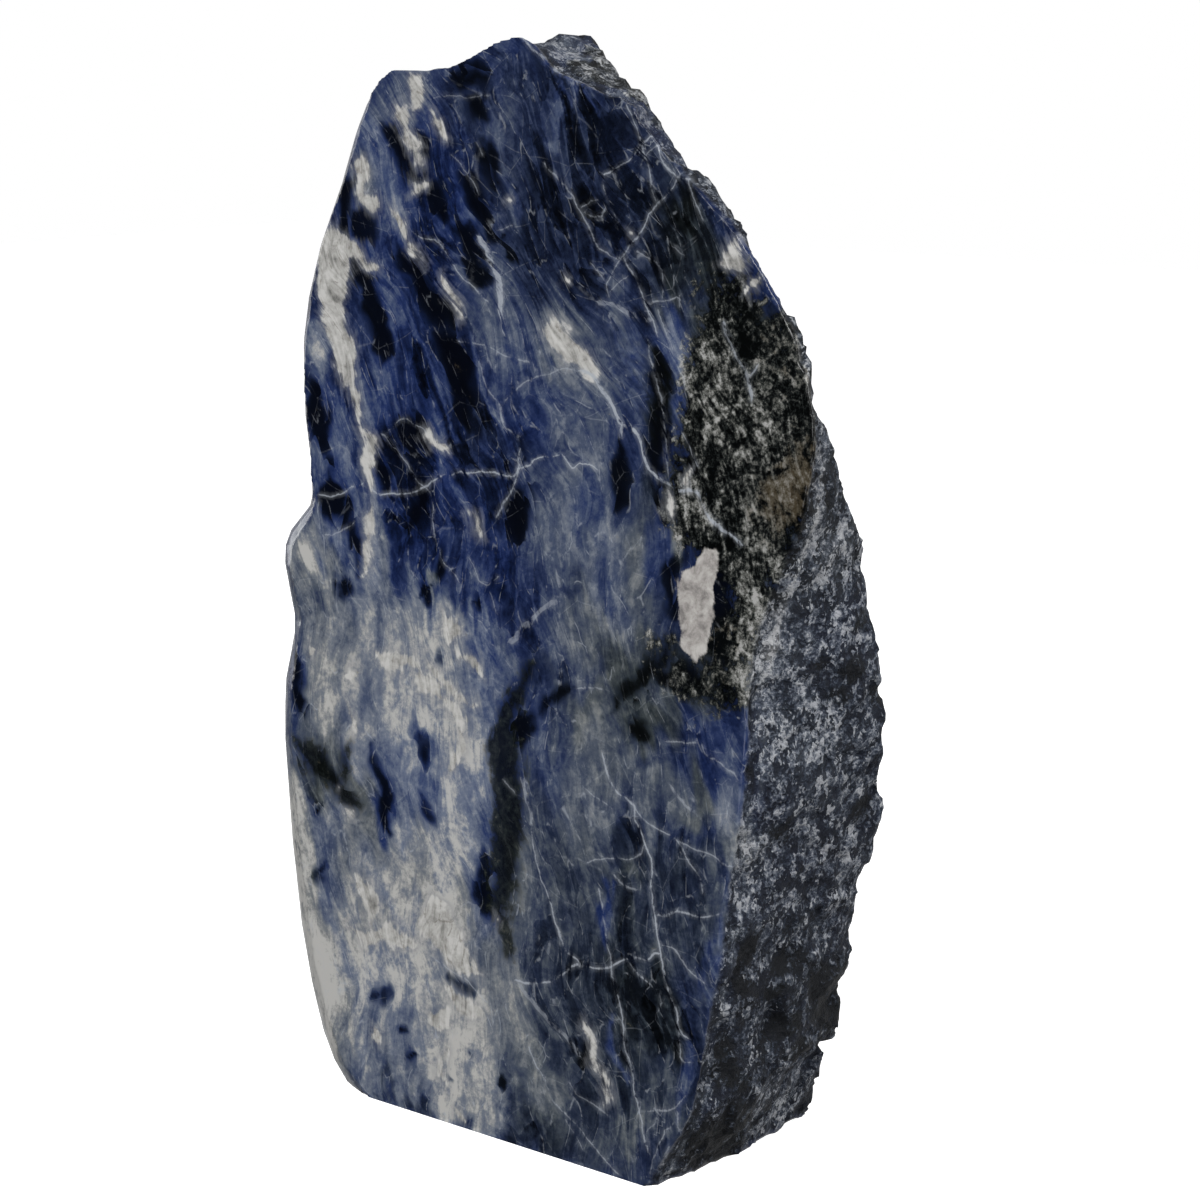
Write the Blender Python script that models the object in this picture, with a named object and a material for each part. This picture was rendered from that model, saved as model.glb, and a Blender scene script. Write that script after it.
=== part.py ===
"""A freestanding sodalite: a broken lump, ground flat and polished on its front and sawn flat at its foot.

Every outline below is in millimetres, in the stone's own measure: across the polished face to the right,
behind the polished face, and up from the foot. The face leans back a little. The object is moved at the
end so that its origin is under the middle of its box, at the foot.
"""

import math

import bmesh
import bpy
from mathutils import Matrix, Vector, noise

MM = 0.001

# Driving dimensions, in millimetres unless the name says otherwise
LEAN_DEG = 4.0
BACK_REACH = 68.0
BACK_TAPER = 0.93
BACK_CENTRE = (-32.0, 84.0)
GRINDING_CUT = 0.3

# The polished face, from the foot's right corner up the right side, over the top and down the left side:
# across, up
FACE_EDGE = [
    (-2.0, -6.0), (0.0, 0.0), (8.7, 15.5), (11.0, 31.0), (12.3, 46.0), (14.7, 63.0),
    (15.2, 78.0), (15.0, 92.0), (19.0, 104.0), (24.0, 116.0), (25.6, 126.0), (24.2, 133.0),
    (20.1, 143.0), (11.4, 155.0), (2.3, 162.5), (-6.5, 169.8), (-10.9, 176.5), (-20.0, 178.6),
    (-29.3, 182.0), (-36.5, 187.2), (-53.0, 181.6), (-64.9, 180.6), (-69.5, 173.0), (-73.8, 161.0),
    (-79.0, 149.0), (-81.6, 135.0), (-81.3, 122.0), (-78.5, 106.0), (-82.0, 96.5), (-79.0, 83.0),
    (-80.5, 68.0), (-77.5, 45.0), (-73.0, 24.0), (-66.5, 8.0), (-60.0, 0.0), (-52.0, -6.0),
]

# The widest line round the stone, point for point with the face's edge: across, behind the face, up, and
# how far the side swells out between the two
GIRTH = [
    (3.0, 45.0, -6.0, 3.0), (6.5, 45.0, 0.0, 3.0), (13.5, 39.5, 15.0, 5.0), (17.5, 35.0, 31.0, 4.0),
    (20.0, 31.0, 46.0, 3.0), (25.5, 30.0, 61.0, 3.0), (28.5, 25.0, 77.0, 3.0), (28.5, 22.0, 90.0, 3.5),
    (25.8, 14.5, 103.0, 2.0), (27.3, 12.5, 114.0, 1.0), (26.4, 7.0, 124.0, 0.5), (24.4, 1.5, 133.0, 0.2),
    (20.2, 1.2, 143.0, 0.2), (11.5, 1.2, 155.0, 0.2), (2.6, 4.5, 162.5, 0.5), (-7.5, 3.5, 169.8, 0.5),
    (-12.5, 2.0, 176.3, 0.2), (-23.0, 13.0, 181.5, 0.5), (-31.5, 14.0, 186.8, 0.5), (-38.5, 11.0, 187.9, 0.5),
    (-53.0, 5.0, 181.5, 1.0), (-67.2, 6.0, 181.2, 1.5), (-73.3, 6.0, 173.5, 2.5), (-78.2, 6.0, 161.0, 2.5),
    (-83.4, 7.0, 149.0, 3.0), (-86.4, 7.0, 135.0, 3.0), (-85.3, 7.0, 122.0, 3.0), (-82.8, 8.0, 106.0, 4.0),
    (-91.3, 9.5, 95.5, 6.0), (-88.4, 9.5, 82.0, 6.0), (-90.6, 10.5, 68.0, 7.0), (-88.8, 11.5, 45.0, 7.5),
    (-84.6, 11.5, 23.0, 7.5), (-79.0, 10.5, 6.0, 6.5), (-69.5, 9.0, -3.0, 4.0), (-58.0, 8.0, -6.0, 2.0),
]

# The flat breaks behind: a point on each in across, back and up, then the way it faces as a turn from
# straight right towards the back, and a tilt up, in degrees
BREAKS = [
    (-30.0, 57.0, 60.0, 88.0, 3.0),
    (-36.0, 31.0, 187.0, 84.0, 19.0),
    (26.0, 17.5, 122.0, 51.0, 22.0),
    (3.5, 17.5, 163.0, 52.0, 28.0),
    (22.5, 33.6, 77.0, 50.0, 7.5),
    (15.2, 38.0, 30.0, 51.0, -5.0),
    (14.8, 45.2, 16.0, 57.0, -14.0),
    (5.6, 11.0, 0.0, 2.0, -28.0),
    (-86.0, 34.0, 92.0, 138.0, 4.0),
    (-73.0, 30.0, 160.0, 124.0, 24.0),
    (-70.0, 34.0, 12.0, 140.0, -20.0),
    (-30.0, 49.0, 4.0, 96.0, -24.0),
]

# Knobs and, where the height is below nothing, pits: across, back, up, reach, height
KNOBS = [
    (21.5, 14.0, 131.4, 3.5, -1.8),
    (-12.0, 17.0, 173.0, 5.0, -1.5),
    (27.1, 26.5, 83.1, 2.5, -1.2),
    (24.5, 33.5, 61.0, 4.0, 1.5),
    (24.0, 30.6, 64.0, 2.5, -1.8),
    (16.0, 39.0, 41.0, 10.0, -1.8),
    (16.8, 19.1, 38.3, 3.0, -2.0),
    (12.6, 40.0, 29.5, 3.5, -1.4),
    (14.2, 18.0, 26.5, 3.5, -2.2),
    (15.5, 34.5, 26.0, 3.5, -1.8),
    (15.5, 40.0, 24.0, 5.0, 1.6),
    (9.0, 4.1, 19.5, 2.5, -1.3),
]

# How the broken sides are weathered: sizes and heights of swells, large and small chips and coarse grain
RELIEF_SEED = Vector((3.7, 9.1, 5.3))
SWELLS = (26.0, 1.4)
LARGE_CHIPS = (24.0, 2.6)
SMALL_CHIPS = (9.0, 0.8)
GRAINS = (4.5, 0.4)
# The right side broke along one clean joint above its foot, so this share of the chips is missing there
CLEAN_BREAK = 0.7
POLISHED_EDGE_DEPTH = 9.0
POLISHED_EDGE_FADE = 4.0

# How finely the stone is made
STATIONS = 240
SIDE_STEPS = 12
BACK_STEPS = 12
FINE_CELL = 1.2
TRIANGLES = 8300


def smooth(value, low, high):
    """From 0 at low to 1 at high, with level ends."""
    share = min(1.0, max(0.0, (value - low) / (high - low)))
    return share * share * (3 - 2 * share)


def face_back(up):
    """How far back the polished face is at a height."""
    return up * math.tan(math.radians(LEAN_DEG))


def between(a, b, c, d, share):
    """A point on the rounded line from b to c, with a and d as the neighbours."""
    return 0.5 * (
        2 * b
        + (c - a) * share
        + (2 * a - 5 * b + 4 * c - d) * share**2
        + (3 * b - a - 3 * c + d) * share**3
    )


def walked(points, others):
    """Points evenly spaced round two closed outlines at once, measured along the second."""
    count = len(others)
    lengths = [(others[(i + 1) % count] - others[i]).length for i in range(count)]
    step = sum(lengths) / STATIONS
    found = []
    place = 0
    passed = 0.0
    for station in range(STATIONS):
        while place < count - 1 and station * step > passed + lengths[place]:
            passed += lengths[place]
            place += 1
        share = (station * step - passed) / lengths[place]
        around = [(place + k) % count for k in (-1, 0, 1, 2)]
        found.append(
            tuple(between(*[outline[i] for i in around], share) for outline in (points, others))
        )
    return found


def side_line(edge, girth, outward):
    """The swelling line from the face's edge to the girth."""
    chord = girth - edge
    out = chord.dot(outward)
    swell = girth.w * (outward * chord.y - Vector((0, out, 0, 0))) / math.hypot(out, chord.y)
    middle = (edge + girth) / 2 + swell
    for step in range(SIDE_STEPS):
        share = step / SIDE_STEPS
        yield edge * (1 - share) ** 2 + middle * 2 * share * (1 - share) + girth * share**2


def back_line(girth):
    """The line from the girth to the far side of the lump, before it is broken."""
    centre = Vector((BACK_CENTRE[0], 0, BACK_CENTRE[1], 0))
    end = centre + (girth - centre) * BACK_TAPER
    end.y = BACK_REACH
    for step in range(BACK_STEPS + 1):
        yield girth.lerp(end, step / BACK_STEPS)


def lump_mesh():
    """The lump before it is broken and sawn, as rings from the face to the far side."""
    edges = [Vector((x, 0.0, z, 0.0)) for x, z in FACE_EDGE]
    girths = [Vector(row) for row in GIRTH]
    stations = walked(edges, girths)
    lines = []
    for number, (edge, girth) in enumerate(stations):
        before, after = stations[number - 1][1], stations[(number + 1) % STATIONS][1]
        along = after - before
        outward = Vector((along.z, 0, -along.x, 0)).normalized()
        lines.append([*side_line(edge, girth, outward), *back_line(girth)])
    bm = bmesh.new()
    columns = [
        [bm.verts.new((p.x, face_back(p.z) + p.y, p.z)) for p in line]
        for line in lines
    ]
    for here, there in zip(columns, columns[1:] + columns[:1]):
        for k in range(len(here) - 1):
            bm.faces.new((here[k], here[k + 1], there[k + 1], there[k]))
    bm.faces.new([column[0] for column in columns])
    bm.faces.new([column[-1] for column in reversed(columns)])
    bmesh.ops.recalc_face_normals(bm, faces=bm.faces)
    return bm


def cut(bm, point, outward):
    """Saws off what lies beyond a plane, and closes the cut with one flat face."""
    result = bmesh.ops.bisect_plane(
        bm,
        geom=[*bm.verts, *bm.edges, *bm.faces],
        dist=1e-5,
        plane_co=point,
        plane_no=outward,
        clear_outer=True,
    )
    rim = [item for item in result["geom_cut"] if isinstance(item, bmesh.types.BMEdge)]
    bmesh.ops.edgeloop_fill(bm, edges=rim)
    bmesh.ops.recalc_face_normals(bm, faces=bm.faces)


def break_back(bm):
    """Takes the flat breaks off the lump."""
    for x, y, z, turn, tilt in BREAKS:
        turn, tilt = math.radians(turn), math.radians(tilt)
        outward = Vector((math.cos(turn) * math.cos(tilt), math.sin(turn) * math.cos(tilt), math.sin(tilt)))
        cut(bm, Vector((x, y, z)), outward)


def evaluated(mesh, kind, **settings):
    """The mesh as a modifier leaves it."""
    holder = bpy.data.objects.new("holder", mesh)
    bpy.context.scene.collection.objects.link(holder)
    modifier = holder.modifiers.new(kind, kind)
    for name, value in settings.items():
        setattr(modifier, name, value)
    graph = bpy.context.evaluated_depsgraph_get()
    made = bpy.data.meshes.new_from_object(holder.evaluated_get(graph))
    bpy.data.objects.remove(holder)
    return made


def roughness(point):
    """0 where the stone is polished, 1 where it is broken."""
    depth = point.y - face_back(point.z)
    left = smooth(-point.x, 52.0, 72.0) * smooth(-point.z, -178.0, -168.0)
    start = 0.5 + POLISHED_EDGE_DEPTH * left
    return smooth(depth, start, start + 1.5 + POLISHED_EDGE_FADE * left)


def chips(point, shape):
    """Small breaks side by side, each tilted its own way and a step up or down from the next."""
    size, height = shape
    spot = point / size + RELIEF_SEED
    centre = noise.voronoi(spot)[1][0]
    tilt = noise.cell_vector(centre * 5.0) - Vector((0.5, 0.5, 0.5))
    step = noise.cell(centre * 9.0) - 0.5
    return height * (1.6 * (spot - centre).dot(tilt) + 0.4 * step)


def relief(point):
    """How far the broken surface stands out at a point."""
    swell_size, swell_height = SWELLS
    grain_size, grain_height = GRAINS
    swell = noise.fractal(point / swell_size + RELIEF_SEED, 0.9, 2.1, 3)
    grain = noise.ridged_multi_fractal(point / grain_size, 0.9, 2.0, 3, 0.8, 1.6) - 1.2
    bent = point + Vector((swell, -swell, swell)) * 5.0
    height = swell_height * swell + grain_height * grain
    clean = CLEAN_BREAK * smooth(point.x, 0.0, 12.0) * smooth(point.z, 20.0, 50.0)
    height += (1 - clean) * chips(bent, LARGE_CHIPS) + (1 - clean / 2) * chips(bent, SMALL_CHIPS)
    for x, y, z, reach, tall in KNOBS:
        far = (point - Vector((x, y, z))).length / reach
        height += tall * math.exp(-far * far)
    return height


def weather(mesh):
    """Roughens the broken sides."""
    mesh.update()
    moves = [
        vertex.normal * relief(vertex.co) * roughness(vertex.co)
        for vertex in mesh.vertices
    ]
    for vertex, move in zip(mesh.vertices, moves):
        vertex.co += move


def stone_mesh():
    """The finished stone, in millimetres."""
    bm = lump_mesh()
    break_back(bm)
    mesh = bpy.data.meshes.new("lump")
    bm.to_mesh(mesh)
    bm.free()
    mesh = evaluated(mesh, "REMESH", mode="VOXEL", voxel_size=FINE_CELL)
    weather(mesh)
    mesh.calc_loop_triangles()
    mesh = evaluated(mesh, "DECIMATE", ratio=TRIANGLES / len(mesh.loop_triangles))
    bm = bmesh.new()
    bm.from_mesh(mesh)
    lean = math.radians(LEAN_DEG)
    face_out = Vector((0, -math.cos(lean), math.sin(lean)))
    cut(bm, Vector((0, GRINDING_CUT, 0)), face_out)
    cut(bm, Vector((0, 0, 0)), Vector((0, 0, -1)))
    bm.to_mesh(mesh)
    bm.free()
    return mesh


def centred(mesh):
    """Turns millimetres into metres, with the origin under the middle of the box."""
    spots = [vertex.co for vertex in mesh.vertices]
    low = Vector([min(spot[k] for spot in spots) for k in range(3)])
    high = Vector([max(spot[k] for spot in spots) for k in range(3)])
    shift = Vector(((low.x + high.x) / 2, (low.y + high.y) / 2, low.z))
    mesh.transform(Matrix.Scale(MM, 4) @ Matrix.Translation(-shift))


def sodalite_material():
    """Deep blue stone with a soft polish."""
    material = bpy.data.materials.new("sodalite")
    material.use_nodes = True
    shader = material.node_tree.nodes["Principled BSDF"]
    shader.inputs["Base Color"].default_value = (0.035, 0.052, 0.14, 1)
    shader.inputs["Roughness"].default_value = 0.35
    shader.inputs["Metallic"].default_value = 0.0
    return material


for old in list(bpy.data.objects):
    bpy.data.objects.remove(old)

stone = bpy.data.objects.new("sodalite", stone_mesh())
bpy.context.scene.collection.objects.link(stone)
centred(stone.data)
stone.data.name = "sodalite"
stone.data.materials.append(sodalite_material())
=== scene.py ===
"""The looks of a freestanding rough sodalite: its polished face, its broken sides and its light.

Places are in millimetres in the stone's own measure: across the polished face to the right from the
foot's right corner, back from the polished face, and up from the foot.
"""

import math

import bmesh
import bpy
import numpy as np
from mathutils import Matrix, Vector, noise


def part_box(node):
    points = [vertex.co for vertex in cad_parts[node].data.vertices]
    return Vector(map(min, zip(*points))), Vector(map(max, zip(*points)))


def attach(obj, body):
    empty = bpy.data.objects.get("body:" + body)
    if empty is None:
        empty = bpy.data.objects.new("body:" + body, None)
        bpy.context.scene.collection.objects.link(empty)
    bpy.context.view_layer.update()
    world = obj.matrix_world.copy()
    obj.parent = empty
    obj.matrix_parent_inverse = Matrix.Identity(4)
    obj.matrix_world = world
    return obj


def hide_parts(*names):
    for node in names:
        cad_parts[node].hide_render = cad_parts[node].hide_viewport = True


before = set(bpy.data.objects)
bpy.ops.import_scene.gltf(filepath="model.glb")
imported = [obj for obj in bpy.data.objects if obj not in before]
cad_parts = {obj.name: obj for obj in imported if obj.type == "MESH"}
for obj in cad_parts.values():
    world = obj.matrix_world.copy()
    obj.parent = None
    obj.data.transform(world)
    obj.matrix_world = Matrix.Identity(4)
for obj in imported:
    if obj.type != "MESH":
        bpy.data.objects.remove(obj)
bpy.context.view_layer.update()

# The stone's own measure
MM = 0.001
LEAN_DEG = 4.0
GRINDING_CUT = 0.3
BOX_RIGHT = 27.27
box_low, box_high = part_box("sodalite")
OFFSET = np.array((BOX_RIGHT - box_high.x / MM, GRINDING_CUT - box_low.y / MM, 0.0))

# How finely the stone is made: the size of its cells, the share of their triangles that is kept, and how
# freely each part is thinned out to reach that share
CELL = 0.52
KEPT_SHARE = 0.385
THINNING = {"face": 0.0, "right": 0.62, "hidden": 0.78}
THINNING_POWER = 1000.0

# How deep the face goes behind its own plane, and where across the stone its right side begins
FACE_DEPTH = 1.0
RIGHT_FROM = -5.0

# What lies this close to the foot is put right on it, and to the face too where it looks forward enough
SNAP = 0.35
FACING = 0.4

# The worn bevel on the left, which is polished too: where it begins and is full, where it ends near the
# top, and how deep it goes
BEVEL_LEFT = (52.0, 72.0)
BEVEL_TOP = (168.0, 178.0)
BEVEL_DEPTH = 9.0

# Scales of the broken sides, coarse and fine: size and height; and how they are sunk and kept in bounds
SCALES = ((4.6, 0.6), (1.9, 0.36))
SCALE_SINK = 0.12
SCALE_BOUNDS = (-0.9, 0.25)

# How far from its rim a mark is told apart, inside and outside
FAR = 6.0

# How places stray before marks are drawn at them, in waves: size, how far, seed
WAVY = ((6.5, 0.9, 4.1), (2.4, 0.35, 9.2))
RAGGED = ((5.0, 1.6, 3.3), (1.9, 0.6, 6.1))
LOOSE = ((14.0, 3.0, 1.9),)
BENT_GRAIN = ((22.0, 5.0, 2.6), (8.0, 1.6, 7.7))

# How far the grain leans to the left, low down and high up, and where it turns
LOW_LEAN_DEG = 12.0
HIGH_LEAN_DEG = 33.0
LEAN_TURN = (100.0, 132.0)

# The same noise each run
noise.seed_set(3)

# The camera stands where the photograph was taken from
CAMERA_AT = (0.2852, -0.3650, 0.1889)
CAMERA_TURN_DEG = 38.0
CAMERA_DOWN_DEG = 12.0
CAMERA_LENS = 81.3
SENSOR = 36.0

# The lights: name, place, size and power, all facing the middle of the stone
LIGHTS = [
    ("key", (0.30, -1.15, 0.95), 0.6, 20.0), ("front", (0.75, -1.00, 0.08), 0.5, 5.0),
    ("left", (-1.15, -0.05, 0.20), 0.5, 3.0), ("right", (1.00, 0.15, 0.60), 0.6, 8.0),
]
STONE_MIDDLE = (0.0, 0.0, 0.09)

# Crisp marks on the face: half the width of each, then its line: across and up, point after point
CREAM = [
    (0.9, -72.4, 128, -70.5, 125, -69.5, 121.5), (1.2, -69, 120, -66.3, 118, -66.5, 113, -67, 110),
    (0.9, -66.5, 108, -66.5, 104, -66, 101), (0.6, -66, 101, -66.5, 96, -67, 94.5),
    (0.8, -63, 176, -60.5, 171.5), (0.6, -60.5, 171.5, -59, 169, -57, 166),
    (0.6, -55, 174, -53, 172, -51, 169.5), (0.9, -63, 158, -61, 156, -59.5, 154),
    (0.4, -59.5, 154, -56, 149.5), (0.6, -51, 147, -49, 144, -46.5, 140.5),
    (0.5, -37.5, 160.2, -37.3, 159.8), (0.5, -12.5, 156.2, -12.3, 155.8), (0.5, -24.5, 148, -24.3, 147.6),
    (0.5, -54, 120, -52.5, 119, -48.5, 118.3), (0.5, -43.5, 107, -42, 105.5, -40.5, 104.5),
    (1.9, -47.6, 89.6, -46.4, 87.2, -44.6, 86), (1.2, -64, 80, -60, 80.4, -56, 80, -54, 79),
    (1.1, -54, 79, -52.5, 77.5, -50, 76.5, -47.5, 75.5), (1, -47.5, 75.5, -46, 74, -45, 72, -44.5, 70),
    (0.8, -44.5, 70, -44, 67, -45, 65, -46.3, 62.5),
    (0.7, -52, 82.5, -51.5, 80.5, -49, 78.5, -46.5, 77, -44, 76, -41, 75), (0.5, -43, 73, -42, 71.5),
    (0.9, -44.5, 84, -42, 83, -40, 81.5, -38.5, 80.5), (1.6, -68.6, 77, -68.3, 76),
    (1, -79, 79.3, -78.6, 78.7), (0.5, -70, 72, -69, 66), (1.4, -67, 31, -64, 29, -60, 30, -52, 31),
    (1.5, -66, 40, -64, 37, -63, 33), (0.9, -48.2, 20, -47.8, 19.8), (0.6, -45, 13, -45, 9, -44, 6),
    (1.1, -62, 13, -60, 11), (0.8, -42, 3, -40, 1), (0.6, -34.2, 38.6, -33.8, 38.4),
    (0.5, -14, 25.5, -13.3, 23.5, -12.5, 21.5, -12, 19.5, -11.3, 17.5),
    (0.4, -10.5, 19, -9.5, 15, -8.5, 12), (0.6, -71.6, 54.6, -71.4, 54.3), (0.7, -69.2, 51.6, -68.8, 51.3),
    (1.6, 12.6, 149.4, 13.4, 148.6), (0.5, -2, 115, -1.8, 113, -0.5, 111.5),
    (0.4, 2.5, 120.5, 1.8, 119, 2.3, 117),
]
DARK = [
    (1.6, -37.6, 155, -37.3, 154), (1, -36.7, 152, -36.4, 151), (2.3, -60.6, 121, -56.4, 119, -55, 116.6),
    (0.9, -64, 114, -62, 110), (1.8, -80.5, 126, -78.5, 119, -77.4, 115),
    (3.3, -75.6, 111, -74.6, 107, -74, 104), (0.8, -70.5, 103, -69.5, 100, -69, 97, -68, 94),
    (1.1, -55, 108, -57, 104), (0.9, -50, 101, -49, 95.5), (1.6, -52.6, 93.4, -52.4, 92.6),
    (0.9, -40.6, 93.8, -40.4, 93.2), (0.9, -38.8, 109, -38.6, 107), (1, -31.2, 118.4, -30.8, 117.6),
    (1.4, -3, 116, -2, 112, -3, 110), (1.7, -5.5, 137, -4.5, 131, -4, 126, -3.3, 119),
    (0.7, -48.6, 81.9, -48.4, 81.5), (1.6, -72.2, 93.4, -71, 89.4), (0.9, -53, 68, -50.5, 64),
    (0.9, -63.5, 64, -62.5, 60, -61, 58, -60, 55, -58.5, 49.5), (1, -53, 58, -51.5, 55.5, -48, 52.5),
    (1.2, -83, 79, -82, 67), (0.5, -19, 81, -21, 80.5, -23, 79.8, -25, 78.3, -26.5, 76.5),
    (1.4, -28, 75, -30, 72, -31.4, 69.6), (1.5, 9.6, 109, 10.5, 104, 10, 100, 9.8, 95),
    (2.8, 9.8, 95, 11, 91), (0.8, 3, 109, 1.5, 106, 0.3, 102, 0, 97),
    (1.5, 0, 92, -1, 89, -4, 86.5, -7, 84, -9, 82, -11, 78), (1.8, -4.4, 86.4, 2, 85.6, 8, 85),
    (1, -8, 77, -5, 75), (0.9, -14, 21, -12.5, 18), (1.2, -38, 50, -37.5, 44, -36.5, 40),
    (1.1, -43.2, 26.6, -38, 24.8), (1, -59.2, 18.2, -58.5, 21.6), (0.8, -62, 19.6, -61.8, 19.2),
    (0.8, -54.6, 15.2, -54.4, 14.8), (0.8, -38.6, 14.2, -38.4, 13.8), (0.9, -43.2, 8.4, -42.8, 7.6),
    (0.9, -52.2, 9.8, -51.8, 9.2), (0.9, -32.2, 10.4, -31.8, 9.6), (1.2, -77.2, 50.4, -76.8, 49.6),
    (1.2, -76.2, 39.4, -75.8, 38.6),
]
GREEN_BLACK = [
    (3, -28, 83, -31, 80, -33, 75, -33.5, 69, -33, 62, -32, 55, -32.5, 48, -33, 40, -31, 33),
    (2.2, -83, 62, -79, 60, -75, 57.5), (1.6, -75, 57.5, -71, 55, -68, 53.5), (1.2, -70, 63, -69.6, 55),
]

# Larger marks on the face, each as its outline: across and up, point after point
CREAM_BODIES = [
    (-78, 155.5, -75.5, 154, -72, 152, -68, 149.8, -65.5, 147.6, -66.5, 147, -70, 148.3, -72.6, 148.2,
        -73.4, 145, -73.6, 141, -73.4, 137, -71.4, 133, -70.2, 129, -70.6, 126.6, -73.2, 127.4, -75, 131,
        -77.5, 135.6, -79, 138.5, -80.4, 142, -80.4, 147, -79.8, 152),
    (5.6, 152.6, 7.2, 155.4, 9, 156, 11.8, 152.2, 10.4, 151),
    (-29, 139, -26.6, 141.6, -23, 140.6, -20, 137.2, -16.6, 133.6, -18.6, 132.6, -21.6, 134.4, -24, 134.6,
        -25.6, 136.6),
    (-50.6, 37, -48.6, 39.6, -45, 38.6, -43, 35, -38.6, 31.6, -37.4, 29.2, -42, 28, -46, 30.4, -51, 32.4,
        -53, 34),
    (-45, 24, -41, 24.4, -36, 21.6, -37.6, 19.8, -42.6, 20.6),
    (-48, 20.4, -44.4, 20, -43.4, 17, -46, 15.4, -48.6, 17),
    (-60.2, 181, -57.5, 180.5, -56.8, 177, -58, 173.5, -59.5, 173, -60, 176),
    (-59, 163, -57, 163.2, -55.5, 162, -56.5, 160.6, -58.5, 160.6),
    (-71, 166.5, -69.5, 166, -68.4, 163.6, -69.4, 162, -68.6, 160.4, -66.6, 160, -65.6, 158, -66.5, 157,
        -68.4, 157.2, -70, 158, -71.5, 161.5, -72.3, 164.5),
]
DARK_BODIES = [
    (-65, 172, -61.5, 172.5, -57, 164, -56.8, 162.6, -59.5, 162.8, -62, 166.5),
    (-55, 162, -51.5, 161.5, -49.5, 157.5, -51, 155.5, -54, 157, -55.5, 160),
    (-58, 170.6, -55.6, 169.5, -55.8, 167, -57, 167.4), (-76, 162, -73.5, 162, -73.5, 153, -75.4, 155),
    (-72, 157, -68.5, 156.5, -67.5, 153, -69.5, 151.5, -72, 153.5),
    (-72.2, 148.8, -70, 148.6, -68, 146.5, -65.5, 143.5, -63.5, 139, -62, 134, -64, 131.2, -67, 134.5,
        -69, 139, -69.5, 144, -72, 146.5),
    (-62.5, 152.5, -59, 151, -55, 146.5, -52, 144.5, -47.5, 140.8, -48.5, 139, -53, 140.5, -57, 143,
        -60, 147),
    (-51.5, 137.5, -47, 137, -44.6, 133, -43.4, 127, -44.6, 121.6, -47.4, 124, -50, 131),
    (-47, 164.5, -45, 164, -41.5, 158, -39.5, 153.5, -42, 154, -45, 159),
    (-49, 156, -46.5, 155.5, -42.5, 150, -41, 145.5, -43.5, 146, -47, 151),
    (-44, 170, -41, 168.5, -38.5, 163.5, -40, 163, -43, 167),
    (-52, 180.5, -46, 182, -41.5, 180, -43, 178.2, -49, 177.8),
    (-34.2, 114, -31, 114.4, -30.2, 109, -32.4, 104.4, -34.4, 106),
    (-12.6, 122.6, -11, 121, -9.6, 113, -11.4, 112.4, -13.6, 117),
    (-47, 176.5, -43, 177, -42.5, 174, -45, 173.5),
]
QUARTZ_BODIES = [
    (5.5, 108, 8.6, 107.4, 8.8, 103, 8.5, 99, 8, 95, 6.8, 91, 5, 88.4, 3, 90.5, 2, 94, 1, 97, 1, 101,
        2.5, 103.5),
]

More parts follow.
